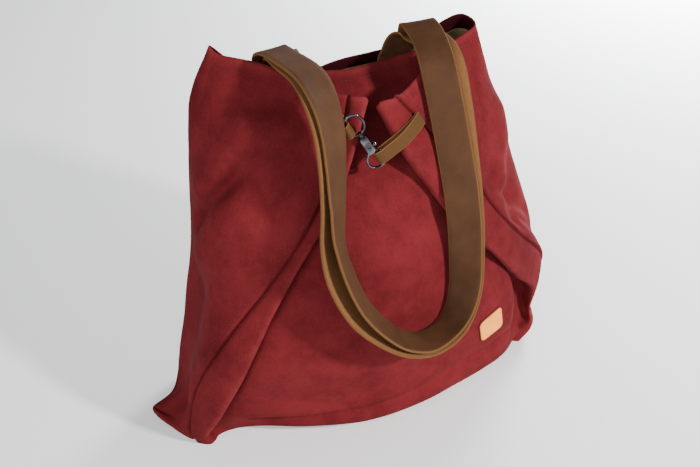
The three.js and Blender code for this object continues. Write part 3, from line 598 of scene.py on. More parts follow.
def place(piece: bpy.types.Object, body: Body, slot: Slot, *nodes: str) -> None:
    """Rides a piece on a body and hides the solids that it stands for.

    Args:
        piece: the piece.
        body: what it rides on.
        slot: where its finish comes from; not used.
        *nodes: the solids that it stands for.
    """
    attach(piece, body.value)
    if nodes:
        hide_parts(*nodes)
    log.info("%s: %d faces on %s", piece.name, len(piece.data.polygons), body.value)


class Field:
    """A node's output socket that takes arithmetic."""

    def __init__(self, graph: "Graph", socket: bpy.types.NodeSocket) -> None:
        """Wraps a socket of a graph."""
        self.graph = graph
        self.socket = socket

    def _math(self, operation: str, *values: Any) -> "Field":
        """Adds one Math node."""
        return self.graph.node("ShaderNodeMath", {"operation": operation}, dict(enumerate(values)))[0]

    def __add__(self, other: Any) -> "Field":
        """Sum."""
        return self._math("ADD", self, other)

    __radd__ = __add__

    def __mul__(self, other: Any) -> "Field":
        """Product."""
        return self._math("MULTIPLY", self, other)

    __rmul__ = __mul__

    def ramp(self, low: float, high: float, to_low: float = 0.0, to_high: float = 1.0) -> "Field":
        """Maps one range smoothly to another, held at its ends.

        Args:
            low: start of the range.
            high: its end.
            to_low: what its start becomes.
            to_high: what its end becomes.

        Returns:
            The mapped field.
        """
        made = self.graph.node("ShaderNodeMapRange", {"interpolation_type": "SMOOTHSTEP"},
                               {"Value": self, "From Min": low, "From Max": high,
                                "To Min": to_low, "To Max": to_high})
        return made["Result"]


class Made:
    """A node whose outputs are read by name or number as fields."""

    def __init__(self, graph: "Graph", node: bpy.types.Node) -> None:
        """Wraps a node of a graph."""
        self.graph = graph
        self.bare = node

    def __getitem__(self, key: str | int) -> Field:
        """One output."""
        return Field(self.graph, self.bare.outputs[key])


class Graph:
    """Adds nodes to a tree, settings first and inputs after."""

    mix_inputs = (0, 6, 7)
    mix_output = 2

    def __init__(self, tree: bpy.types.NodeTree) -> None:
        """Starts on a tree."""
        self.tree = tree

    def node(self, kind: str, settings: dict[str, Any] | None = None,
             inputs: dict[str | int, Any] | None = None) -> Made:
        """Adds a node.

        Args:
            kind: the node's type.
            settings: its properties.
            inputs: values or fields for its sockets.

        Returns:
            The node.
        """
        made = self.tree.nodes.new(kind)
        for key, value in (settings or {}).items():
            setattr(made, key, value)
        for key, value in (inputs or {}).items():
            self.feed(made.inputs[key], value)
        return Made(self, made)

    def feed(self, socket: bpy.types.NodeSocket, value: Any) -> None:
        """Links a field to a socket, or sets its value.

        Args:
            socket: the input.
            value: a field or a plain value.
        """
        if isinstance(value, Field):
            self.tree.links.new(value.socket, socket)
        else:
            socket.default_value = value

    def object_place(self) -> Field:
        """Place in the object's own metres."""
        return self.node("ShaderNodeTexCoord")["Object"]

    def cloth_place(self) -> Field:
        """Place on the piece's own flat, in metres."""
        return self.node("ShaderNodeUVMap", {"uv_map": "Cloth"})["UV"]

    def mark(self, name: str) -> Field:
        """A number that the mesh carries at each point."""
        return self.node("ShaderNodeAttribute", {"attribute_name": name})["Fac"]

    def stretched(self, place_field: Field, scale: tuple[float, float, float]) -> Field:
        """A place drawn out along its axes."""
        return self.node("ShaderNodeMapping", None, {"Vector": place_field, "Scale": scale})["Vector"]

    def noise(self, place_field: Field, scale: float, detail: float = 3.0, rough: float = 0.55) -> Field:
        """Cloudy noise from 0 to 1."""
        return self.node("ShaderNodeTexNoise", None, {"Vector": place_field, "Scale": scale,
                                                      "Detail": detail, "Roughness": rough})["Fac"]

    def mix(self, factor: Any, a: Any, b: Any) -> Field:
        """Colour between a and b."""
        return self.node("ShaderNodeMix", {"data_type": "RGBA"},
                         dict(zip(self.mix_inputs, (factor, a, b))))[self.mix_output]

    def bump(self, height: Field, strength: float, distance: float, below: Field | None = None) -> Field:
        """A normal raised by a height, in metres of distance.

        Args:
            height: the relief.
            strength: its share.
            distance: its height at full strength.
            below: a normal that it adds to.

        Returns:
            The normal.
        """
        inputs: dict[str | int, Any] = {"Height": height, "Strength": strength, "Distance": distance}
        if below is not None:
            inputs["Normal"] = below
        return self.node("ShaderNodeBump", None, inputs)["Normal"]


Colour = tuple[float, float, float, float]


def rgb(red: int, green: int, blue: int) -> Colour:
    """A linear colour from display values of 0 to 255.

    Args:
        red: red value.
        green: green value.
        blue: blue value.

    Returns:
        The colour, opaque.
    """
    def linear(c: int) -> float:
        """One channel."""
        s = c / 255
        return s / 12.92 if s <= 0.04045 else ((s + 0.055) / 1.055) ** 2.4
    return linear(red), linear(green), linear(blue), 1.0


@dataclass(frozen=True)
class Finish:
    """A finish of the bag: a named material built by its own recipe."""

    name: str = "finish"

    def make(self) -> bpy.types.Material:
        """Builds the material.

        Returns:
            The material.
        """
        material = bpy.data.materials.new(self.name)
        material.use_nodes = True
        graph = Graph(material.node_tree)
        shader = next(n for n in graph.tree.nodes if n.type == "BSDF_PRINCIPLED")
        self.dress(graph, shader)
        return material

    def dress(self, graph: Graph, shader: bpy.types.Node) -> None:
        """Sets the shader's sockets.

        Args:
            graph: adds nodes to the material.
            shader: the material's principled shader.
        """
        raise NotImplementedError


@dataclass(frozen=True)
class BrushedHide(Finish):
    """Matt brushed red cloth of the bag: soft nap, cloudy shade, faint upright slubs; painted shade darkens
    its inner wall and a line down each seam.
    """

    name: str = "brushed_red"
    deep: Colour = rgb(80, 22, 26)
    bright: Colour = rgb(107, 34, 38)
    worn: Colour = rgb(134, 52, 55)
    # Painted shade: the inner wall's colour, darkened to the bag's shaded interior
    inner: Colour = rgb(44, 11, 15)
    # Painted shade laid in the seams' grooves
    groove: Colour = rgb(52, 10, 14)
    sheen: Colour = rgb(226, 150, 150)
    specular: float = 0.03
    sheen_weight: float = 0.015
    sheen_roughness: float = 0.45
    slub_scale: tuple[float, float, float] = (620, 34, 1)
    weft_scale: tuple[float, float, float] = (30, 520, 1)
    nap_scale: float = 620.0
    cloud_scale: float = 16.0
    patch_scale: float = 55.0
    crinkle_scale: float = 170.0

    def dress(self, graph: Graph, shader: bpy.types.Node) -> None:
        """Sets the shader's sockets.

        Args:
            graph: adds nodes to the material.
            shader: the material's principled shader.
        """
        place_field, flat = graph.object_place(), graph.cloth_place()
        cloud = graph.noise(place_field, self.cloud_scale, 4)
        patch = graph.noise(place_field, self.patch_scale, 4, 0.6)
        nap = graph.noise(place_field, self.nap_scale, 4, 0.7)
        crinkle = graph.noise(place_field, self.crinkle_scale, 4, 0.6)
        slub = graph.noise(graph.stretched(flat, self.slub_scale), 1.0, 3, 0.6)
        weft = graph.noise(graph.stretched(flat, self.weft_scale), 1.0, 2, 0.5)
        tone = (cloud * 0.38 + patch * 0.3 + nap * 0.22 + slub * 0.1).ramp(0.34, 0.66)
        red = graph.mix(tone, self.deep, self.bright)
        worn = graph.mix(graph.mark("wear") * patch.ramp(0.3, 0.7, 0.35, 1.0) * 0.5, red, self.worn)
        # Painted shade: the seam mark darkens a line down each groove
        seam_shaded = graph.mix(graph.mark("seam") * 0.75, worn, self.groove)
        # Painted shade: the inner wall takes the dark inner colour
        colour = graph.mix(graph.mark("inside"), seam_shaded, self.inner)
        graph.feed(shader.inputs["Base Color"], colour)
        graph.feed(shader.inputs["Roughness"], nap.ramp(0.2, 0.8, 0.82, 0.98))
        graph.feed(shader.inputs["Normal"], graph.bump(
            nap * 0.5 + slub * 0.2 + weft * 0.15, 0.4, 0.00035,
            graph.bump(crinkle, 0.45, 0.0011, graph.bump(patch, 0.35, 0.0016))))
        shader.inputs["Specular IOR Level"].default_value = self.specular
        shader.inputs["Sheen Weight"].default_value = self.sheen_weight
        shader.inputs["Sheen Roughness"].default_value = self.sheen_roughness
        shader.inputs["Sheen Tint"].default_value = self.sheen


@dataclass(frozen=True)
class Cowhide(Finish):
    """Oiled brown leather with a tan flesh side and pale raw edges."""

    name: str = "oiled_leather"
    grain: Colour = rgb(64, 41, 26)
    grain_light: Colour = rgb(77, 51, 33)
    flesh: Colour = rgb(118, 82, 50)
    flesh_deep: Colour = rgb(88, 58, 32)
    edge: Colour = rgb(100, 68, 40)
    specular: float = 0.1
    cloud_scale: float = 22.0
    mottle_scale: float = 90.0
    pebble_scale: float = 900.0
    fibre_scale: tuple[float, float, float] = (900, 160, 1)

    def dress(self, graph: Graph, shader: bpy.types.Node) -> None:
        """Sets the shader's sockets.

        Args:
            graph: adds nodes to the material.
            shader: the material's principled shader.
        """
        place_field, flat = graph.object_place(), graph.cloth_place()
        cloud = graph.noise(place_field, self.cloud_scale, 4)
        mottle = graph.noise(place_field, self.mottle_scale, 5, 0.6)
        pebble = graph.node("ShaderNodeTexVoronoi", {"feature": "DISTANCE_TO_EDGE"},
                            {"Vector": place_field, "Scale": self.pebble_scale})["Distance"]
        fibre = graph.noise(graph.stretched(flat, self.fibre_scale), 1.0, 4, 0.65)
        tone = (cloud * 0.6 + mottle * 0.4).ramp(0.3, 0.7)
        grain = graph.mix(tone, self.grain, self.grain_light)
        flesh = graph.mix(fibre.ramp(0.25, 0.75) * 0.5, self.flesh, self.flesh_deep)
        side = graph.mark("side")
        faced = graph.mix(side, grain, flesh)
        colour = graph.mix(graph.mark("edge"), faced, self.edge)
        graph.feed(shader.inputs["Base Color"], colour)
        rough = side * 0.35 + graph.mark("edge") * 0.3 + mottle * 0.16 + 0.6
        graph.feed(shader.inputs["Roughness"], rough.ramp(0.3, 1.0, 0.3, 0.95))
        fine = graph.bump(pebble, 0.25, 0.00018, graph.bump(mottle, 0.3, 0.0006))
        graph.feed(shader.inputs["Normal"], graph.bump(fibre * side, 0.35, 0.0004, fine))
        shader.inputs["Specular IOR Level"].default_value = self.specular


@dataclass(frozen=True)
class TabHide(Cowhide):
    """Thinner leather of the tabs: tan-brown outside, dark olive inside."""

    name: str = "tab_leather"
    grain: Colour = rgb(94, 60, 36)
    grain_light: Colour = rgb(112, 75, 47)
    flesh: Colour = rgb(74, 52, 30)
    edge: Colour = rgb(118, 82, 50)


@dataclass(frozen=True)
class LabelHide(Finish):
    """Natural tanned leather of the label, darker round its cut edge."""

    name: str = "natural_leather"
    pale: Colour = rgb(255, 166, 66)
    deep: Colour = rgb(240, 134, 46)
    burnt: Colour = rgb(120, 50, 26)
    specular: float = 0.2
    mottle_scale: float = 130.0
    pore_scale: float = 1900.0

    def dress(self, graph: Graph, shader: bpy.types.Node) -> None:
        """Sets the shader's sockets.

        Args:
            graph: adds nodes to the material.
            shader: the material's principled shader.
        """
        place_field = graph.object_place()
        mottle = graph.noise(place_field, self.mottle_scale, 5, 0.6)
        pore = graph.noise(place_field, self.pore_scale, 3, 0.6)
        body = graph.mix(mottle.ramp(0.35, 0.7) * 0.6, self.pale, self.deep)
        colour = graph.mix(graph.mark("edge"), body, self.burnt)
        graph.feed(shader.inputs["Base Color"], colour)
        graph.feed(shader.inputs["Roughness"], mottle.ramp(0.2, 0.8, 0.5, 0.72))
        graph.feed(shader.inputs["Normal"], graph.bump(
            pore, 0.3, 0.00015, graph.bump(mottle, 0.3, 0.0005)))
        shader.inputs["Specular IOR Level"].default_value = self.specular


@dataclass(frozen=True)
class Canvas(Finish):
    """Plain-woven olive-tan cotton of the lining strip."""

    name: str = "olive_canvas"
    light: Colour = rgb(150, 132, 92)
    dark: Colour = rgb(104, 88, 56)
    thread: float = 1700.0

    def dress(self, graph: Graph, shader: bpy.types.Node) -> None:
        """Sets the shader's sockets.

        Args:
            graph: adds nodes to the material.
            shader: the material's principled shader.
        """
        flat = graph.cloth_place()
        both = graph.node("ShaderNodeSeparateXYZ", None, {0: flat})
        warp = self._threads(graph, both["X"])
        weft = self._threads(graph, both["Y"])
        cloud = graph.noise(graph.object_place(), 60, 3)
        weave = warp * 0.5 + weft * 0.5
        graph.feed(shader.inputs["Base Color"],
                   graph.mix((weave * 0.6 + cloud * 0.5).ramp(0.25, 0.85), self.dark, self.light))
        shader.inputs["Roughness"].default_value = 0.9
        graph.feed(shader.inputs["Normal"], graph.bump(weave, 0.5, 0.0003))

    def _threads(self, graph: Graph, along: Field) -> Field:
        """Ribs from 0 to 1 across one way of the cloth."""
        turned = along * (self.thread * math.pi)
        sine = graph.node("ShaderNodeMath", {"operation": "SINE"}, {0: turned})
        return sine[0] * 0.5 + 0.5


@dataclass(frozen=True)
class DarkNickel(Finish):
    """Polished dark nickel with faint rubs, and lighter patches of painted reflection in its colour."""

    name: str = "dark_nickel"
    colour: Colour = (0.05, 0.05, 0.055, 1.0)
    # Lighter colour of the painted reflection patches
    painted_reflection: Colour = (0.13, 0.13, 0.14, 1.0)
    rub_scale: float = 320.0
    reflection_patch_scale: float = 110.0
    smoothest: float = 0.1
    roughest: float = 0.22

    def dress(self, graph: Graph, shader: bpy.types.Node) -> None:
        """Sets the shader's sockets.

        Args:
            graph: adds nodes to the material.
            shader: the material's principled shader.
        """
        place_field = graph.object_place()
        rub = graph.noise(place_field, self.rub_scale, 3, 0.5)
        reflection_patches = graph.noise(place_field, self.reflection_patch_scale, 1, 0.4)
        shader.inputs["Metallic"].default_value = 1.0
        # Painted reflection: noise patches lighten the dark metal's colour where reflections would show
        graph.feed(shader.inputs["Base Color"], graph.mix(
            reflection_patches.ramp(0.35, 0.65), self.colour, self.painted_reflection))
        graph.feed(shader.inputs["Roughness"], rub.ramp(0.4, 0.85, self.smoothest, self.roughest))


@dataclass(frozen=True)
class Thread(Finish):
    """Waxed sewing thread in one colour."""

    name: str = "thread"
    colour: Colour = rgb(76, 16, 20)
    shade: float = 0.4
    twist_scale: float = 2600.0

    def dress(self, graph: Graph, shader: bpy.types.Node) -> None:
        """Sets the shader's sockets.

        Args:
            graph: adds nodes to the material.
            shader: the material's principled shader.
        """
        twist = graph.noise(graph.object_place(), self.twist_scale, 2)
        shaded = (*(c * self.shade for c in self.colour[:3]), 1.0)
        graph.feed(shader.inputs["Base Color"],
                   graph.mix(twist.ramp(0.3, 0.7) * 0.5, self.colour, shaded))
        shader.inputs["Roughness"].default_value = 0.7
        graph.feed(shader.inputs["Normal"], graph.bump(twist, 0.3, 0.0002))


class Palette:
    """The bag's materials, each made once."""

    def __init__(self) -> None:
        """Starts with nothing made."""
        self._made: dict[str, bpy.types.Material] = {}

    def get(self, finish: Finish) -> bpy.types.Material:
        """The material of a finish.

        Args:
            finish: the finish.

        Returns:
            Its material, made at the first call.
        """
        if finish.name not in self._made:
            self._made[finish.name] = finish.make()
        return self._made[finish.name]

    def dress(self, piece: bpy.types.Object, finish: Finish) -> None:
        """Gives a piece one finish."""
        piece.data.materials.clear()
        piece.data.materials.append(self.get(finish))


PALETTE = Palette()


@dataclass
class TotePouch:
    """The hollow pouch: outer wall, inner wall, rim and base; its lining strip is made apart."""

    coarse: int = 2
    rim_width: float = 0.1
    rim_wear: float = 0.8
    fold_station: float = 8.4
    fold_width: float = 0.55
    fold_wear: float = 0.7
    seam_shade_width: float = 0.3

    def outer(self) -> tuple[Array, Array, Array]:
        """Stations, levels and points of the outer wall.

        Returns:
            Stations of a row, levels of the rows, and the grid of points.
        """
        us, vs = fine_stations(0, RING), np.linspace(0, TOP, TOP * ROWS_PER_LEVEL + 1)
        grid = SHELL.surface(us[None, :], vs[:, None])
        grid[0, :, 2] = 0
        return us, vs, grid

    def build(self) -> None:
        """Makes the pouch."""
        us, vs, outer = self.outer()
        inner_u, inner_v = us[::self.coarse], vs[::self.coarse]
        inner = SHELL.surface(inner_u[None, :], inner_v[:, None], WALL)
        inner[0, :, 2] = WALL
        n, m, p, q = len(us), len(vs), len(inner_u), len(inner_v)
        first = n * m
        points = np.concatenate([outer.reshape(-1, 3), inner.reshape(-1, 3)])
        faces = [*quad_strip(n, m, True), *quad_strip(p, q, True, first, True),
                 *self._rim(n, (m - 1) * n, p, first + (q - 1) * p),
                 *self._fill(outer[0], 0, False), *self._fill(inner[0], first, True)]
        uv = np.concatenate([flat_place(outer), flat_place(inner)])
        u_all = np.concatenate([np.tile(us, m), np.tile(inner_u, q)])
        v_all = np.concatenate([np.repeat(vs, n), np.repeat(inner_v, p)])
        # The inside mark picks the inner wall, which the cloth paints with painted shade
        inside = np.concatenate([np.zeros(n * m), np.ones(p * q)])
        # The seam mark carries painted shade down each seam's groove
        piece = new_piece("tote_pouch", points, faces, uv, inside=inside,
                          wear=self._wear(u_all, v_all), seam=self._seam_shade(u_all))
        PALETTE.dress(piece, BrushedHide())
        place(piece, Body.BAG, Slot.CLOTH, "bag_body")

    @staticmethod
    def _both(u: Array, station: float, width: float) -> Array:
        """Humps at a station of the right side and at the left side's."""
        return bump_at(around(u, station), width) + bump_at(around(u, RING - station), width)

    def _wear(self, u: Array, v: Array) -> Array:
        """Rubbed places: the rim and the folded edges in front of the seams."""
        folded = self._both(u, self.fold_station, self.fold_width) * self.fold_wear
        return np.clip(bump_at(v - TOP, self.rim_width) * self.rim_wear + folded, 0, 1)

    def _seam_shade(self, u: Array) -> Array:
        """Painted shade: a dark line down each side seam's groove."""
        return np.clip(self._both(u, GROOVE, self.seam_shade_width), 0, 1)

    def _rim(self, n: int, top: int, p: int, inside: int) -> list[tuple[int, ...]]:
        """Faces between the outer and the coarser inner rim.

        Args:
            n: points in the outer rim.
            top: index of its first point.
            p: points in the inner rim.
            inside: index of its first point.

        Returns:
            Indices of each face.
        """
        out = []
        for j in range(p):
            a, b, c = (top + (self.coarse * j + k) % n for k in range(3))
            out.append((a, inside + j, inside + (j + 1) % p, c, b))
        return out

    @staticmethod
    def _fill(ring: Array, first: int, up: bool) -> list[tuple[int, ...]]:
        """Triangles inside a flat ring.

        Args:
            ring: the ring's points.
            first: index of its first point.
            up: whether the faces look up.

        Returns:
            Indices of each triangle.
        """
        made = bmesh.new()
        corners = [made.verts.new((p[0], p[1], 0)) for p in ring]
        for i, vert in enumerate(corners):
            vert.index = i
        made.faces.new(corners)
        bmesh.ops.triangulate(made, faces=made.faces[:])
        out = []
        for f in made.faces:
            f.normal_update()
            order = [v.index for v in f.verts]
            out.append(tuple(first + i for i in (order if (f.normal.z > 0) == up else order[::-1])))
        made.free()
        return out


@dataclass
class LiningStrip:
    """Cloth strip along the inside of the back wall."""

    rows: int = 60

    def build(self) -> None:
        """Makes the strip."""
        us = np.append(fine_stations(LINING_FROM[0], LINING_TO[0]), LINING_TO[0])
        vs = np.linspace(LINING_FROM[1], LINING_TO[1], self.rows)
        near, far = (SHELL.surface(us[None, :], vs[:, None], d)
                     for d in (WALL + GAP, WALL + GAP + LINING_WALL))
        n, m = len(us), len(vs)
        faces = [*quad_strip(n, m, False), *quad_strip(n, m, False, n * m, True), *self._sides(n, m)]
        uv = np.concatenate([flat_place(near), flat_place(far)])
        points = np.concatenate([near.reshape(-1, 3), far.reshape(-1, 3)])
        piece = new_piece("lining", points, faces, uv)
        PALETTE.dress(piece, Canvas())
        place(piece, Body.BAG, Slot.LINING, "lining_strip")

    @staticmethod
    def _sides(n: int, m: int) -> list[tuple[int, ...]]:
        """Faces round the strip's edge.

        Args:
            n: points in a row.
            m: rows.

        Returns:
            Indices of each face.
        """
        ring = [*range(n - 1), *(j * n + n - 1 for j in range(m - 1)),
                *((m - 1) * n + i for i in range(n - 1, 0, -1)), *(j * n for j in range(m - 1, 0, -1))]
        other = n * m
        return [(a, b, other + b, other + a) for a, b in zip(ring, ring[1:] + ring[:1])]


@dataclass
class Band:
    """A leather band of constant section along rows of middle points and leans."""

    middle: Array
    lean: Array
    width: float
    thickness: float
    steps: int = 14
    grain_out: bool = True
    flat_points: int = 9
    turn_points: int = 5
    edge_share: float = 0.92

    def section(self) -> tuple[Array, Array, Array]:
        """Outline across the band: places, which side each is on, and how near the edge.

        Returns:
            The outline, 0 for its grain side to 1 for its flesh side, and 1 at its edges.
        """
        w, t = self.width / 2, self.thickness / 2
        r = t * self.edge_share
        flats = np.linspace(-1, 1, self.flat_points) * (w - r)
        turn = np.radians(np.linspace(90, -90, self.turn_points + 2)[1:-1])
        right = [(w - r + r * math.cos(a), t * math.sin(a)) for a in turn]
        left = [(-x, -y) for x, y in right]
        top = [(x, t) for x in flats]
        bottom = [(x, -t) for x in flats[::-1]]
        outline = np.array([*top, *right, *bottom, *left])
        counts = (self.flat_points, self.turn_points) * 2
        side = np.repeat([0.0, 0.5, 1.0, 0.5], counts)
        edge = np.repeat([0.0, 1.0, 0.0, 1.0], counts)
        return outline, side if self.grain_out else 1 - side, edge

    def frames(self, s: Array) -> tuple[Array, Array, Array]:
        """Middle, lean and face at places along the band.

        Args:
            s: places along the rows of middle points.

        Returns:
            Three rows of vectors.
        """
        h, last = 0.05, len(self.middle) - 1
        ahead = open_span(self.middle, np.minimum(s + h, last))
        run = unit(ahead - open_span(self.middle, np.maximum(s - h, 0)))
        raw = open_span(self.lean, s)
        lean = unit(raw - run * (raw * run).sum(-1, keepdims=True))
        return open_span(self.middle, s), lean, np.cross(run, lean)

    def build(self, name: str) -> bpy.types.Object:
        """Makes the band's mesh, with its ends closed.

        Args:
            name: the piece's name.

        Returns:
            The object.
        """
        outline, side, edge = self.section()
        n, count = len(outline), (len(self.middle) - 1) * self.steps + 1
        at, lean, face = self.frames(np.linspace(0, len(self.middle) - 1, count))
        x, y = outline[None, :, 0:1], outline[None, :, 1:2]
        points = at[:, None] + lean[:, None] * x + face[:, None] * y
        faces = [*quad_strip(n, count, True)]
        ends = (np.arange(n), (count - 1) * n + np.arange(n))
        faces += [tuple(ends[0]), tuple(ends[1][::-1])]
        along = np.repeat(lengths(at, 0), n)
        across = np.tile(lengths(outline, 0), count)
        piece = new_piece(name, points.reshape(-1, 3), faces, np.stack([across, along], axis=-1),
                          side=np.tile(side, count), edge=np.tile(edge, count))
        fix_normals(piece)
        return piece


def fix_normals(piece: bpy.types.Object) -> None:
    """Turns a closed mesh's faces outwards.

    Args:
        piece: the mesh object.
    """
    made = bmesh.new()
    made.from_mesh(piece.data)
    bmesh.ops.recalc_face_normals(made, faces=made.faces[:])
    made.to_mesh(piece.data)
    made.free()


@dataclass
class Straps:
    """The two shoulder straps, one sewn inside the back and one inside the front panel."""

    steps: int = 16
    left_ease: float = 1.25

    def run_rows(self) -> tuple[Array, Array]:
        """Middles and leans of the back strap's free run."""
        table = np.array(STRAP_RUN, float)
        return table[:, PLACE] * (HALF_WIDTH, DEPTH, HEIGHT), unit(table[:, ACROSS])

    @staticmethod
    def root(u: float, levels: Sequence[float], side: int, depth: float,
             lift: float) -> tuple[Array, Array]:
        """The sewn end inside the shell, from its tip to the rim.

        Args:
            u: station.
            levels: its levels.
            side: 1 or -1, the way its width runs round the bag.
            depth: how far its middle lies inside the shell.
            lift: what each row adds to that.

        Returns:
            Middles and leans.
        """
        v = np.array(levels, float)
        across = SHELL.surface(u + 0.1, v, fine=False) - SHELL.surface(u - 0.1, v, fine=False)
        normal = SHELL.normal(np.full_like(v, u), v)
        depths = depth + lift * np.arange(len(v))
        middle = SHELL.surface(u, v, fine=False) - normal * depths[:, None]
        return middle, unit(across) * side

    def _joined(self, rows: Sequence[tuple[Array, Array]], grain_out: bool = True) -> Band:
        """One band from its right root over its free run to its left root.

        Args:
            rows: middles and leans of the right root, the run and the left root.
            grain_out: whether its grain side faces out.

        Returns:
            The strap's band.
        """
        middle, lean = (np.concatenate([right, run, left[::-1]]) for right, run, left in zip(*rows))
        return Band(middle, lean, STRAP_WIDTH, STRAP_THICKNESS, self.steps, grain_out)

    def back(self) -> Band:
        """The strap sewn inside the back wall.

        Returns:
            The band.
        """
        depth = WALL + GAP + LINING_WALL + GAP + ROOT_EASE + STRAP_THICKNESS / 2
        station, levels = BACK_ROOT
        return self._joined((self.root(station, levels, 1, depth, 0), self.run_rows(),
                             self.root(RING - station, levels, -1, depth, 0)))

    def front(self) -> Band:
        """The strap sewn inside the front panel, hanging just behind the other.

        Returns:
            The band.
        """
        depth = WALL + GAP + ROOT_EASE + STRAP_THICKNESS / 2
        middle, lean = self.run_rows()
        table = np.array(STRAP_RUN, float)
        rows = Band(middle, lean, STRAP_WIDTH, STRAP_THICKNESS)
        at, across, face = rows.frames(np.arange(len(middle), dtype=float))
        behind = np.maximum(table[:, DROP] * STRAP_WIDTH, STRAP_THICKNESS + GAP)
        at = at + across * table[:, SLIDE] * STRAP_WIDTH - face * behind
        turn = np.radians(table[:, TURN])
        across = across * np.cos(turn) - face * np.sin(turn)
        station, levels = FRONT_ROOT
        return self._joined((self.root(station, levels, -1, depth, ROOT_EASE), (at, across),
                             self.root(RING - station, levels, 1, depth, ROOT_EASE * self.left_ease)), False)

    def build(self) -> None:
        """Makes both straps."""
        for name, band, node in (("shoulder_strap_back", self.back(), "strap_back"),
                                 ("shoulder_strap_front", self.front(), "strap_front")):
            piece = band.build(name)
            PALETTE.dress(piece, Cowhide())
            place(piece, Body.BAG, Slot.STRAP, node)


def beside(u0: float, v: Array, distance: float, depth: float = 0.0) -> Array:
    """Points at a set distance round the bag from a station's line.

    Args:
        u0: the station.
        v: levels.
        distance: how far round, minus towards lower stations.
        depth: how far inside the outer face.

    Returns:
        One point for each level.
    """
    us = u0 + np.linspace(0, 1.6, 160) * math.copysign(1, distance)
    out = []
    for level in v:
        row = SHELL.surface(us, np.full_like(us, level), depth)
        at = lengths(row, 0) / MM
        u = np.interp(abs(distance), at, us)
        out.append(SHELL.surface(np.array([u]), np.array([level]), depth)[0])
    return np.array(out)


class HookFrame:
    """The snap hook's own frame: x across it, y from its claw to its eye, z to the front."""

    def __init__(self) -> None:
        """Hangs the frame from the left seam."""
        turn = math.radians(HOOK_TURN)
        across = Vector((math.cos(turn), 0, math.sin(turn)))
        upright = Vector((-math.sin(turn), 0, math.cos(turn)))
        up = Matrix.Rotation(-math.radians(HOOK_PITCH), 3, across) @ upright
        self.across, self.up = np.array(across), np.array(up)
        self.front = np.cross(self.across, self.up)
        self.foot = CLAW_RADIUS - WIRE_RADIUS / 2
        self.collar_foot = self.foot + BLOCK_LENGTH + GAP
        self.eye_height = self.collar_foot + COLLAR_LENGTH + EYE_LENGTH - WIRE_RADIUS
        self.left_seam = SHELL.surface(RING - GROOVE, LEFT_TAB_ROOT, fine=False)
        normal = SHELL.normal(np.array(RING - GROOVE), np.array(LEFT_TAB_ROOT))
        self.left_out = unit(unit(normal * (1, 1, 0)) + (0, -1, 0))
        limb = self.left_seam + self.left_out * TAB_REACH
        self.at = limb + self.across * EYE_RADIUS - self.up * self.eye_height
        self.pivot = (0.0, self.foot + PIN_HEIGHT)

    def world(self, points: Array) -> Array:
        """Points of the hook's frame in the bag's."""
        p = np.asarray(points, float)
        return self.at + p[..., 0:1] * self.across + p[..., 1:2] * self.up + p[..., 2:3] * self.front


HOOK = HookFrame()


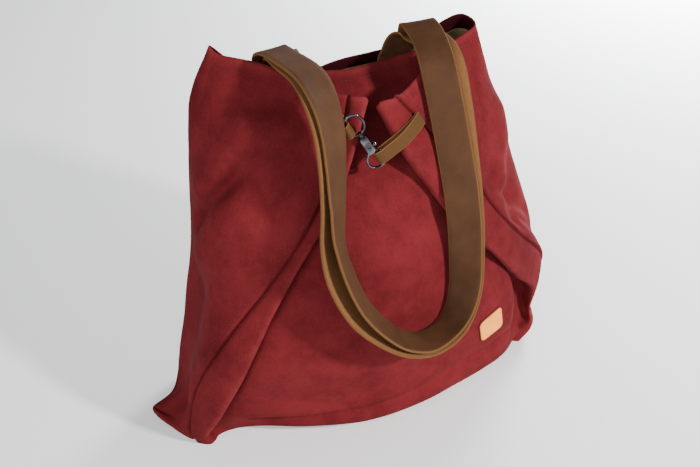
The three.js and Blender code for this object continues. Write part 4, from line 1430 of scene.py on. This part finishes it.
@dataclass
class LoopTabs:
    """The two leather loops: one carries the hook's eye, the other is what the claw clips into."""

    steps: int = 10
    claw_share: float = 0.98
    eye_share: float = 0.66
    left_spread: float = 0.86
    left_swing: float = 0.6

    def build(self) -> None:
        """Makes both tabs."""
        for name, band, node in (("eye_tab", self.left(), "hook_tab"),
                                 ("clip_tab", self.right(), "loop_tab")):
            piece = band.build(name)
            PALETTE.dress(piece, TabHide())
            place(piece, Body.BAG, Slot.TAB, node)

    @staticmethod
    def _seam_way(u: float, v: float) -> Array:
        """Way down a seam's groove."""
        return unit(SHELL.surface(u, v - 0.1, fine=False) - SHELL.surface(u, v + 0.1, fine=False))

    def _loop(self, root: Array, root_lean: Array, out: Array, wire_at: Array, inside: Array,
              back: float, ease: float, spread: float, arch: float) -> Band:
        """A leather loop from a seam, round a wire and back.

        Args:
            root: its sewn end.
            root_lean: way across its width there.
            out: way off the seam.
            wire_at: the wire that it goes round.
            inside: from the wire into its ring.
            back: how far its end lies that way.
            ease: room for the ring's curve in its second half.
            spread: how far its layers bow apart.
            arch: how far they stand off the seam.

        Returns:
            The band.
        """
        layers = (TAB_THICKNESS + GAP) / 2
        hug = WIRE_RADIUS + WIRE_EASE + GAP + TAB_THICKNESS / 2
        reach, wire_lean = root - wire_at, -HOOK.up
        wire_face, root_face = unit(np.cross(inside, wire_lean)), unit(np.cross(root_lean, reach))

        def layer(f: float, lift: float, height: float) -> tuple[Array, Array]:
            """A row of the part between the seam and the wire."""
            face = unit(wire_face * (1 - f) + root_face * f)
            return wire_at + reach * f + face * lift + out * height, wire_lean * (1 - f) + root_lean * f

        # From the seam to the wire: share of the way left, half the layers' gap, height off the seam
        stages = [(1, layers, 0), (0.75, spread * 0.6, arch * 0.7), (0.4, spread, arch),
                  (0.12, hug + GAP, arch * 0.3)]
        # Round the wire: share of the way into its ring, and place across the wire
        ends = [(0.5, hug), (0.86, hug * 0.7), (1, -ease / 2),
                (0.86, -hug * 0.7 - ease), (0.5, -hug - ease)]
        rows = [layer(*stage) for stage in stages]
        rows += [(wire_at + inside * back * share + wire_face * lift, wire_lean) for share, lift in ends]
        rows += [layer(f, -lift - ease * (1 - f), height) for f, lift, height in stages[::-1]]
        middle, lean = (np.array(column) for column in zip(*rows))
        return Band(middle, lean, TAB_WIDTH, TAB_THICKNESS, self.steps, grain_out=False)

    def right(self) -> Band:
        """The loop that the claw holds.

        Returns:
            The band.
        """
        out = SHELL.normal(np.array(float(GROOVE)), np.array(RIGHT_TAB_ROOT))
        stand = SEAM_DEPTH + TAB_THICKNESS + 3 * GAP
        root = SHELL.surface(GROOVE, RIGHT_TAB_ROOT, -stand, fine=False)
        return self._loop(root, self._seam_way(GROOVE, RIGHT_TAB_ROOT), out,
                          HOOK.world([CLAW_RADIUS, 0, 0]), -HOOK.across,
                          CLAW_RADIUS * self.claw_share, 0, TAB_SPREAD, TAB_ARCH)

    def left(self) -> Band:
        """The loop that holds the eye.

        Returns:
            The band.
        """
        seam = RING - GROOVE
        out = SHELL.normal(np.array(float(seam)), np.array(LEFT_TAB_ROOT))
        root = HOOK.left_seam + out * (SEAM_DEPTH + 7 * GAP)
        return self._loop(root, self._seam_way(seam, LEFT_TAB_ROOT), out,
                          HOOK.world([-EYE_RADIUS, HOOK.eye_height, 0]),
                          unit(HOOK.across + HOOK.left_out * self.left_swing),
                          EYE_RADIUS * self.eye_share, TAB_EASE, TAB_SPREAD * self.left_spread, 0)


class Solids:
    """Closed shells of the hook, gathered into one mesh of the hook's frame."""

    dome_steps = 6
    dome_height = 0.9

    def __init__(self) -> None:
        """Starts empty."""
        self.points: list[Array] = []
        self.faces: list[tuple[int, ...]] = []
        self.count = 0

    def _add(self, points: Array, faces: Sequence[Sequence[int]]) -> None:
        """Adds one shell."""
        self.faces += [tuple(int(i) + self.count for i in f) for f in faces]
        self.points.append(np.asarray(points, float))
        self.count += len(points)

    def _rows(self, rows: Array, closed: bool = False) -> None:
        """Adds a shell of rings, with flat ends unless it runs round.

        Args:
            rows: rings of points, one array each.
            closed: whether the last ring joins the first.
        """
        m, n = rows.shape[:2]
        if closed:
            rows = np.concatenate([rows, rows[:1]])
            quads = quad_strip(n, m + 1, True) % (m * n)
            self._add(rows[:-1].reshape(-1, 3), quads)
            return
        faces = [*quad_strip(n, m, True), tuple(range(n)),
                 tuple((m - 1) * n + i for i in range(n))[::-1]]
        self._add(rows.reshape(-1, 3), faces)

    def tube(self, path: Array, radius: float, closed: bool = False, sides: int = 18) -> None:
        """A round wire along a path in the hook's plane; open ends are domed.

        Args:
            path: points of its middle.
            radius: the wire's radius.
            closed: whether it runs round.
            sides: points round it.
        """
        run = np.roll(path, -1, 0) - np.roll(path, 1, 0)
        if not closed:
            run[0], run[-1] = path[1] - path[0], path[-1] - path[-2]
        run = unit(run)
        out = np.stack([run[:, 1], -run[:, 0], np.zeros(len(run))], -1)
        radii = np.full(len(path), radius)
        if not closed:
            dome = np.radians(np.linspace(80, 10, self.dome_steps))
            height = radius * self.dome_height
            first = [path[0] - run[0] * height * math.sin(a) for a in dome]
            last = [path[-1] + run[-1] * height * math.sin(a) for a in dome[::-1]]
            path = np.concatenate([first, path, last])
            out = np.concatenate([np.repeat(out[:1], self.dome_steps, 0), out,
                                  np.repeat(out[-1:], self.dome_steps, 0)])
            radii = np.concatenate([radius * np.cos(dome), radii, radius * np.cos(dome[::-1])])
        turn = np.linspace(0, 2 * math.pi, sides, endpoint=False)
        cos, sin = np.cos(turn)[None, :, None], np.sin(turn)[None, :, None]
        ring = out[:, None] * cos + np.array([0, 0, 1.0]) * sin
        self._rows(path[:, None] + ring * radii[:, None, None], closed)

    def plate(self, outline: Array, low: float, high: float, bevel: float, corner: float = 0.0) -> None:
        """A flat plate of an outline between two heights, round at its edges.

        Args:
            outline: its corners, in order.
            low: its back.
            high: its front.
            bevel: radius of its edges.
            corner: radius of its corners.
        """
        flat = np.asarray(outline, float)
        if corner:
            flat = self._rounded(flat, corner)
        following = np.roll(flat, -1, 0)
        mitre = unit(unit(flat - np.roll(flat, 1, 0)) + unit(following - flat))
        turn = float(np.sum(following[:, 1] * flat[:, 0] - following[:, 0] * flat[:, 1]))
        inward = np.stack([-mitre[:, 1], mitre[:, 0]], -1) * math.copysign(1, turn)
        rows = [(bevel * (1 - math.sin(a)), low + bevel * (1 - math.cos(a)))
                for a in np.radians(np.linspace(0, 90, 4))]
        rows += [(inset, low + high - z) for inset, z in rows[::-1]]
        self._rows(np.array([np.column_stack([flat + inward * inset, np.full(len(flat), z)])
                             for inset, z in rows]))

    @staticmethod
    def _rounded(flat: Array, radius: float, steps: int = 5) -> Array:
        """An outline with its corners cut round.

        Args:
            flat: the corners.
            radius: how far each cut reaches.
            steps: points of each cut.

        Returns:
            The new outline.
        """
        out = []
        for before, at, after in zip(np.roll(flat, 1, 0), flat, np.roll(flat, -1, 0)):
            a = at + unit(before - at) * min(radius, np.linalg.norm(before - at) * 0.45)
            b = at + unit(after - at) * min(radius, np.linalg.norm(after - at) * 0.45)
            for t in np.linspace(0, 1, steps):
                out.append(a * (1 - t) ** 2 + at * 2 * t * (1 - t) + b * t * t)
        return np.array(out)

    def lathe(self, profile: Sequence[tuple[float, float]], centre: tuple[float, float],
              axis: Axis = Axis.FRONT, sides: int = 28) -> None:
        """A turned form: radii and heights along z, or along the hook's y.

        Args:
            profile: radii and heights.
            centre: where it stands in the hook's plane.
            axis: what it turns about.
            sides: points round it.
        """
        turn = np.linspace(0, 2 * math.pi, sides, endpoint=False)
        rows = []
        for radius, height in profile:
            c, d = radius * np.cos(turn), radius * np.sin(turn)
            h = np.full(sides, height)
            second, third = (d, h) if axis is Axis.FRONT else (h, d)
            rows.append(np.stack([c + centre[0], second + centre[1], third], -1))
        self._rows(np.array(rows))

    def piece(self, name: str, crease: float = 32.0) -> bpy.types.Object:
        """The mesh, in the bag's frame, sharp only past an angle.

        Args:
            name: the piece's name.
            crease: the angle, in degrees.

        Returns:
            The object.
        """
        piece = new_piece(name, HOOK.world(np.concatenate(self.points)), self.faces)
        fix_normals(piece)
        piece.data.shade_smooth()
        piece.data.set_sharp_from_angle(angle=math.radians(crease))
        return piece


def bar(start: Sequence[float], end: Sequence[float], half: float, steps: int = 10) -> Array:
    """Outline of a bar with round ends.

    Args:
        start: centre of one end.
        end: centre of the other.
        half: half its width.
        steps: points round each end.

    Returns:
        The outline.
    """
    a = math.atan2(end[1] - start[1], end[0] - start[0])
    out = []
    for centre, first in ((end, a - math.pi / 2), (start, a + math.pi / 2)):
        out += [(centre[0] + half * math.cos(t), centre[1] + half * math.sin(t))
                for t in np.linspace(first, first + math.pi, steps)]
    return np.array(out)


def on_claw(degrees: Array, radius: float = CLAW_RADIUS) -> Array:
    """Places round the claw."""
    a = np.radians(degrees)
    return np.stack([radius * np.cos(a), radius * np.sin(a)], -1)


@dataclass
class SnapHook:
    """The snap hook: slotted block with its claw, sprung gate, and swivel eye on its collar."""

    bevel: float = 0.45
    claw_steps: int = 90

    def build(self) -> None:
        """Makes the hook's three pieces."""
        for piece, body, node in ((self.body(), Body.BAG, "hook_body"),
                                  (self.gate(), Body.GATE, "hook_gate"),
                                  (self.eye(), Body.BAG, "hook_eye")):
            PALETTE.dress(piece, DarkNickel())
            place(piece, body, Slot.HARDWARE, node)

    def body(self) -> bpy.types.Object:
        """The block in three layers, the claw and the pin's rivet heads.

        Returns:
            The object.
        """
        w, foot, head = BLOCK_WIDTH / 2, HOOK.foot, HOOK.foot + BLOCK_LENGTH
        shoulder, boss = w * 0.7, PIN_RADIUS + GAP + BOSS_WALL
        toe = [(-w, foot + 1), (1 - w, foot - 0.5)]
        top = [(w, head - 2), (shoulder, head), (-shoulder, head), (-w, head - 2)]
        outline = [*toe, (w * 0.5, foot - 0.5), (w, foot + 1), *top]
        slot, slot_top, slot_left = PLATE / 2 + GAP, HOOK.pivot[1] + boss + GAP, -boss - GAP
        core = [*toe, (slot_left, foot - 0.5), (slot_left, slot_top), (w, slot_top), *top]
        made, half = Solids(), BLOCK_THICKNESS / 2
        made.plate(outline, slot, half, self.bevel * 0.9, 0.7)
        made.plate(outline, -half, -slot, self.bevel * 0.9, 0.7)
        made.plate(np.array(core) * (0.985, 1), -slot - 0.2, slot + 0.2, 0.1)
        angles = np.linspace(CLAW_ROOT - 6, 360 + CLAW_TIP, self.claw_steps)
        made.tube(np.column_stack([on_claw(angles), np.zeros(self.claw_steps)]), WIRE_RADIUS)
        rivet = [(0.01, 0.5), (0.7, 0.46), (1.15, 0.3), (1.35, 0.0), (1.35, -0.4), (0.01, -0.4)]
        for way in (1, -1):
            made.lathe([(r, way * (half + h)) for r, h in rivet], HOOK.pivot)
        made.lathe([(PIN_RADIUS, -half), (PIN_RADIUS, half)], HOOK.pivot, sides=16)
        return made.piece("snap_hook_body")

    def gate(self) -> bpy.types.Object:
        """The gate's arm, its root, boss and thumb knob.

        Returns:
            The object.
        """
        half, boss = WIRE_RADIUS * 0.85, PIN_RADIUS + GAP + BOSS_WALL
        end = CLAW_TIP + math.degrees(TIP_CLEARANCE / CLAW_RADIUS)
        turns = np.linspace(end, GATE_ROOT, 24)
        arm = np.concatenate([on_claw(turns, CLAW_RADIUS + half),
                              on_claw(turns[::-1], CLAW_RADIUS - half)])
        knob = (BLOCK_WIDTH / 2 + KNOB_RADIUS + GAP, HOOK.pivot[1] + KNOB_RISE)
        made, z = Solids(), PLATE / 2
        made.plate(arm, -z, z, 0.35)
        made.plate(bar(HOOK.pivot, on_claw(np.array(GATE_ROOT)), half * 1.2), -z, z, 0.3)
        made.plate(bar(HOOK.pivot, knob, half * 0.8), -z, z, 0.25)
        ring = [(PIN_RADIUS + GAP, -z), (boss - 0.2, -z), (boss, -z + 0.2), (boss, z - 0.2),
                (boss - 0.2, z), (PIN_RADIUS + GAP, z)]
        made.lathe([*ring, ring[0]], HOOK.pivot)
        h, r = BLOCK_THICKNESS / 2, KNOB_RADIUS
        dome = [(0.01, h), (r * 0.55, h - 0.08), (r * 0.86, h - 0.4), (r, h - 0.95)]
        made.lathe([*dome, *((a, -b) for a, b in dome[::-1])], knob)
        return made.piece("snap_hook_gate")

    def eye(self) -> bpy.types.Object:
        """The oval eye on its turned collar.

        Returns:
            The object.
        """
        a = np.linspace(0, 2 * math.pi, 96, endpoint=False)
        made = Solids()
        oval = [EYE_RADIUS * np.cos(a), HOOK.eye_height + EYE_LENGTH * np.sin(a), a * 0]
        made.tube(np.stack(oval, -1), WIRE_RADIUS, True)
        r, t = COLLAR_RADIUS, COLLAR_LENGTH
        profile = [(0.01, -0.9), (r * 0.55, -0.9), (r * 0.55, 0.05), (r * 0.92, 0.05), (r, 0.25),
                   (r, 0.8), (r * 0.86, 1.0), (r * 0.86, 1.2), (r * 0.97, 1.45), (r * 0.95, 2.3),
                   (r * 0.86, 3.4), (r * 0.78, t), (0.01, t + 0.1)]
        made.lathe(profile, (0.0, HOOK.collar_foot), Axis.LENGTH)
        return made.piece("snap_hook_eye")


@dataclass
class Label:
    """The bare leather patch low on the panel."""

    lift: float = 0.4
    corner_steps: int = 8
    rings: tuple[float, ...] = (0.12, 0.25, 0.4, 0.55, 0.7, 0.82, 0.9, 0.95, 0.98, 1.0)
    bulge: float = 0.012
    edge_round: float = 0.22
    rolled_from: float = 0.95
    rolled_share: float = 0.25

    def build(self) -> None:
        """Makes the patch."""
        rim = self._rim()
        n = len(rim)
        rolled = [max(0, (r - self.rolled_from) / (1 - self.rolled_from)) for r in self.rings]
        rows = [(r, self.lift + LABEL_THICKNESS * (1 - self.rolled_share * roll ** 2))
                for r, roll in zip(self.rings, rolled)]
        rows += [(1 + self.bulge, self.lift + LABEL_THICKNESS / 2), (1.0, self.lift + self.edge_round)]
        rows += [(r, self.lift) for r in self.rings[::-1]]
        points = [self._at(np.zeros((1, 2)), rows[0][1])]
        points += [self._at(rim * r, height) for r, height in rows]
        points.append(self._at(np.zeros((1, 2)), self.lift))
        m, last = len(rows), 1 + len(rows) * n
        faces = [(0, 1 + i, 1 + (i + 1) % n) for i in range(n)]
        faces += [tuple(f) for f in quad_strip(n, m, True, 1)]
        faces += [(last, last - n + (i + 1) % n, last - n + i) for i in range(n)]
        dark = np.array([np.clip((r - 0.93) / 0.06, 0, 1) if k < len(self.rings) else 1.0
                         for k, (r, _) in enumerate(rows)])
        edge = np.concatenate([[0], np.repeat(dark, n), [1]])
        piece = new_piece("leather_patch", np.concatenate(points), faces, None, edge=edge)
        fix_normals(piece)
        PALETTE.dress(piece, LabelHide())
        place(piece, Body.BAG, Slot.LABEL, "leather_label")

    def _rim(self) -> Array:
        """Its outline, round at the corners.

        Returns:
            Points in millimetres from the middle.
        """
        w, h = LABEL_WIDTH / 2 - LABEL_CORNER, LABEL_HEIGHT / 2 - LABEL_CORNER
        out = []
        for sx, sy, first in ((1, 1, 0), (-1, 1, 90), (-1, -1, 180), (1, -1, 270)):
            for a in np.radians(np.linspace(first, first + 90, self.corner_steps)):
                out.append((sx * w + LABEL_CORNER * math.cos(a), sy * h + LABEL_CORNER * math.sin(a)))
        return np.array(out)

    @staticmethod
    def _at(flat: Array, height: float) -> Array:
        """Points of the patch at a height over the cloth.

        Args:
            flat: points in the patch's plane.
            height: how far they stand off the cloth.

        Returns:
            Points in the bag's frame.
        """
        u, v = LABEL_AT
        h, tilt = 0.1, math.radians(LABEL_TILT)
        per_u, per_v = (np.linalg.norm(SHELL.surface(u + a, v + b, fine=False)
                                       - SHELL.surface(u - a, v - b, fine=False)) / (2 * h)
                        for a, b in ((h, 0), (0, h)))
        x, y = flat[:, 0], flat[:, 1]
        return SHELL.surface(u - (x * math.cos(tilt) - y * math.sin(tilt)) / per_u,
                             v + (x * math.sin(tilt) + y * math.cos(tilt)) / per_v, -height)


@dataclass
class Stitching:
    """Lines of sewing made by one node tree that sets a stitch at every pitch along a path."""

    length: float = 2.9
    pitch: float = 4.2
    thickness: float = 0.42
    hem: float = 0.2
    seam_offset: float = 8.5
    seam_rise: float = 0.12
    seam_ends: tuple[float, float] = (0.35, 0.05)
    seam_points: int = 90
    root_rise: float = 0.2
    root_inset: float = 4.0
    root_levels: tuple[float, float] = (8.08, 8.72)
    root_points: tuple[int, int] = (9, 12)

    def build(self) -> None:
        """Makes the sewing of the seams, the hem and the straps' roots."""
        v = np.linspace(self.seam_ends[0], TOP - self.seam_ends[1], self.seam_points)
        rim = np.append(fine_stations(0, RING), RING)
        seams = [beside(GROOVE, v, -self.seam_offset, -self.seam_rise),
                 beside(RING - GROOVE, v, self.seam_offset, -self.seam_rise),
                 SHELL.surface(rim, np.full_like(rim, TOP - self.hem), -self.seam_rise)]
        self._sew("seam_stitching", seams, Thread())
        roots = [self._patch(u) for u in (BACK_ROOT[0], RING - BACK_ROOT[0])]
        self._sew("strap_root_stitching", roots, Thread())

    def _patch(self, u: float) -> Array:
        """Outline of a strap's root, sewn through the back wall.

        Args:
            u: the root's station.

        Returns:
            Points round the outline, the first one again at its end.
        """
        half, depth = STRAP_WIDTH / 2 - self.root_inset, -self.root_rise
        across, along = self.root_points
        sides = []
        for way, start, end in ((1, *self.root_levels), (-1, *self.root_levels[::-1])):
            sides.append(beside(u, np.linspace(start, end, along), -half * way, depth))
            sides += [beside(u, np.array([end]), x * way, depth)
                      for x in np.linspace(-half, half, across)[1:-1]]
        return np.concatenate([*sides, sides[0][:1]])

    def _tree(self, material: bpy.types.Material) -> bpy.types.GeometryNodeTree:
        """The node tree: path, points at the pitch, stitches along it.

        Args:
            material: the thread's material.

        Returns:
            The tree, with its sizes as named inputs.
        """
        tree = bpy.data.node_groups.new("stitch_line", "GeometryNodeTree")
        face = tree.interface
        face.new_socket("Geometry", in_out="INPUT", socket_type="NodeSocketGeometry")
        for name in ("Pitch", "Length", "Thickness"):
            face.new_socket(name, in_out="INPUT", socket_type="NodeSocketFloat")
        face.new_socket("Geometry", in_out="OUTPUT", socket_type="NodeSocketGeometry")
        graph = Graph(tree)
        given = graph.node("NodeGroupInput")
        curve = graph.node("GeometryNodeMeshToCurve", None, {"Mesh": given["Geometry"]})["Curve"]
        even = graph.node("GeometryNodeResampleCurve", {"mode": "LENGTH"},
                          {"Curve": curve, "Length": given["Pitch"]})
        way = graph.node("GeometryNodeInputTangent")["Tangent"]
        turn = graph.node("FunctionNodeAlignRotationToVector", {"axis": "X"},
                          {"Vector": way})["Rotation"]
        bead = graph.node("GeometryNodeMeshIcoSphere", None,
                          {"Radius": 0.5, "Subdivisions": 2})["Mesh"]
        scale = graph.node("ShaderNodeCombineXYZ", None, {"X": given["Length"], "Y": given["Thickness"],
                                                          "Z": given["Thickness"]})["Vector"]
        sewn = graph.node("GeometryNodeInstanceOnPoints", None, {
            "Points": even["Curve"], "Instance": bead, "Rotation": turn, "Scale": scale})["Instances"]
        real = graph.node("GeometryNodeRealizeInstances", None, {"Geometry": sewn})["Geometry"]
        soft = graph.node("GeometryNodeSetShadeSmooth", None, {"Geometry": real})["Geometry"]
        done = graph.node("GeometryNodeSetMaterial", None,
                          {"Geometry": soft, "Material": material})["Geometry"]
        graph.node("NodeGroupOutput", None, {"Geometry": done})
        return tree

    def _sew(self, name: str, paths: Sequence[Array], finish: Finish) -> None:
        """Makes one piece of stitches along paths.

        Args:
            name: the piece's name.
            paths: rows of points in millimetres.
            finish: the thread.
        """
        points, edges = [], []
        for path in paths:
            first = len(points)
            points += [tuple(p) for p in path * MM]
            edges += [(first + i, first + i + 1) for i in range(len(path) - 1)]
        mesh = bpy.data.meshes.new(name + "_path")
        mesh.from_pydata(points, edges, [])
        path_object = bpy.data.objects.new(name + "_path", mesh)
        bpy.context.scene.collection.objects.link(path_object)
        tree = self._tree(PALETTE.get(finish))
        modifier = path_object.modifiers.new("stitches", "NODES")
        modifier.node_group = tree
        sizes = {"Pitch": self.pitch, "Length": self.length, "Thickness": self.thickness}
        for item in tree.interface.items_tree:
            if item.name in sizes:
                modifier[item.identifier] = sizes[item.name] * MM
        depsgraph = bpy.context.evaluated_depsgraph_get()
        baked = bpy.data.meshes.new_from_object(path_object.evaluated_get(depsgraph), depsgraph=depsgraph)
        bpy.data.objects.remove(path_object)
        baked.name = name
        piece = bpy.data.objects.new(name, baked)
        bpy.context.scene.collection.objects.link(piece)
        place(piece, Body.BAG, Slot.CLOTH)


@dataclass(frozen=True)
class Lamp:
    """A square soft light: its place, size and aim in metres, its power and its colour."""

    name: str
    at: tuple[float, float, float]
    size: float
    power: float
    colour: tuple[float, float, float]
    towards: tuple[float, float, float] = (0.0, 0.0, 0.17)


LAMPS = (
    Lamp("key_light", (1.1, -1.3, 1.2), 0.16, 60.0, (1.0, 0.97, 0.93)),
    Lamp("fill_light", (-1.7, -1.5, 1.3), 1.6, 48.0, (1.0, 0.98, 0.96)),
    Lamp("back_light", (1.15, 1.0, 0.5), 0.5, 85.0, (0.97, 0.985, 1.0), (1.05, 0.8, 0.0)),
)


@dataclass
class Studio:
    """Pale sweep, soft lights and the camera at the photograph's angle."""

    azimuth: float = -20.8
    elevation: float = 36.6
    distance: float = 959.0
    target: tuple[float, float, float] = (-2.7, 1.2, 167.5)
    focal_px: float = 1026.0
    image_px: float = 700.0
    roll: float = 0.87
    floor_half: float = 30.0
    floor_glow: float = 0.34
    floor_colour: Colour = (0.74, 0.745, 0.75, 1.0)
    floor_roughness: float = 0.8
    glow_colour: Colour = (0.97, 0.985, 1.0, 1.0)
    sky_colour: Colour = (0.93, 0.95, 1.0, 1.0)
    sky_strength: float = 0.38
    sensor_mm: float = 36.0

    def build(self) -> None:
        """Makes the floor, the lights and the camera."""
        self._floor()
        self._world()
        for lamp in LAMPS:
            self._light(lamp)
        self._camera()

    def _floor(self) -> None:
        """A pale floor."""
        mesh = bpy.data.meshes.new("floor")
        s = self.floor_half
        mesh.from_pydata([(-s, -s, 0), (s, -s, 0), (s, s, 0), (-s, s, 0)], [], [(0, 1, 2, 3)])
        floor = bpy.data.objects.new("floor", mesh)
        bpy.context.scene.collection.objects.link(floor)
        material = bpy.data.materials.new("floor_paper")
        material.use_nodes = True
        shader = next(n for n in material.node_tree.nodes if n.type == "BSDF_PRINCIPLED")
        shader.inputs["Base Color"].default_value = self.floor_colour
        shader.inputs["Roughness"].default_value = self.floor_roughness
        shader.inputs["Emission Color"].default_value = self.glow_colour
        shader.inputs["Emission Strength"].default_value = self.floor_glow
        mesh.materials.append(material)

    def _world(self) -> None:
        """Soft light from all round."""
        world = bpy.data.worlds.new("studio")
        world.use_nodes = True
        back = world.node_tree.nodes["Background"]
        back.inputs["Color"].default_value = self.sky_colour
        back.inputs["Strength"].default_value = self.sky_strength
        bpy.context.scene.world = world

    @staticmethod
    def _light(lamp: Lamp) -> None:
        """A square soft light that points at the bag or at a place.

        Args:
            lamp: the light.
        """
        data = bpy.data.lights.new(lamp.name, "AREA")
        data.shape, data.size, data.energy, data.color = "SQUARE", lamp.size, lamp.power, lamp.colour
        light = bpy.data.objects.new(lamp.name, data)
        light.location = lamp.at
        aim = Vector(lamp.towards) - Vector(lamp.at)
        light.rotation_euler = aim.to_track_quat("-Z", "Y").to_euler()
        bpy.context.scene.collection.objects.link(light)

    def _camera(self) -> None:
        """The camera, from angles and distance about a target."""
        a, e = math.radians(self.azimuth), math.radians(self.elevation)
        back = Vector((math.sin(a) * math.cos(e), -math.cos(a) * math.cos(e), math.sin(e)))
        x = Vector((0, 0, 1)).cross(back).normalized()
        y = back.cross(x)
        r = math.radians(self.roll)
        across, up = x * math.cos(r) + y * math.sin(r), y * math.cos(r) - x * math.sin(r)
        data = bpy.data.cameras.new("camera")
        data.sensor_width = self.sensor_mm
        data.lens = self.focal_px / self.image_px * data.sensor_width
        camera = bpy.data.objects.new("camera", data)
        turn = Matrix((across, up, back)).transposed().to_4x4()
        camera.matrix_world = Matrix.Translation((Vector(self.target) + back * self.distance) * MM) @ turn
        bpy.context.scene.collection.objects.link(camera)
        bpy.context.scene.camera = camera


def main() -> None:
    """Builds the studio and each part of the bag in order."""
    logging.basicConfig(level=logging.INFO, format="%(name)s %(message)s")
    for part in (Studio, TotePouch, LiningStrip, Straps, LoopTabs, SnapHook, Label, Stitching):
        part().build()


if __name__ == "__main__":
    main()
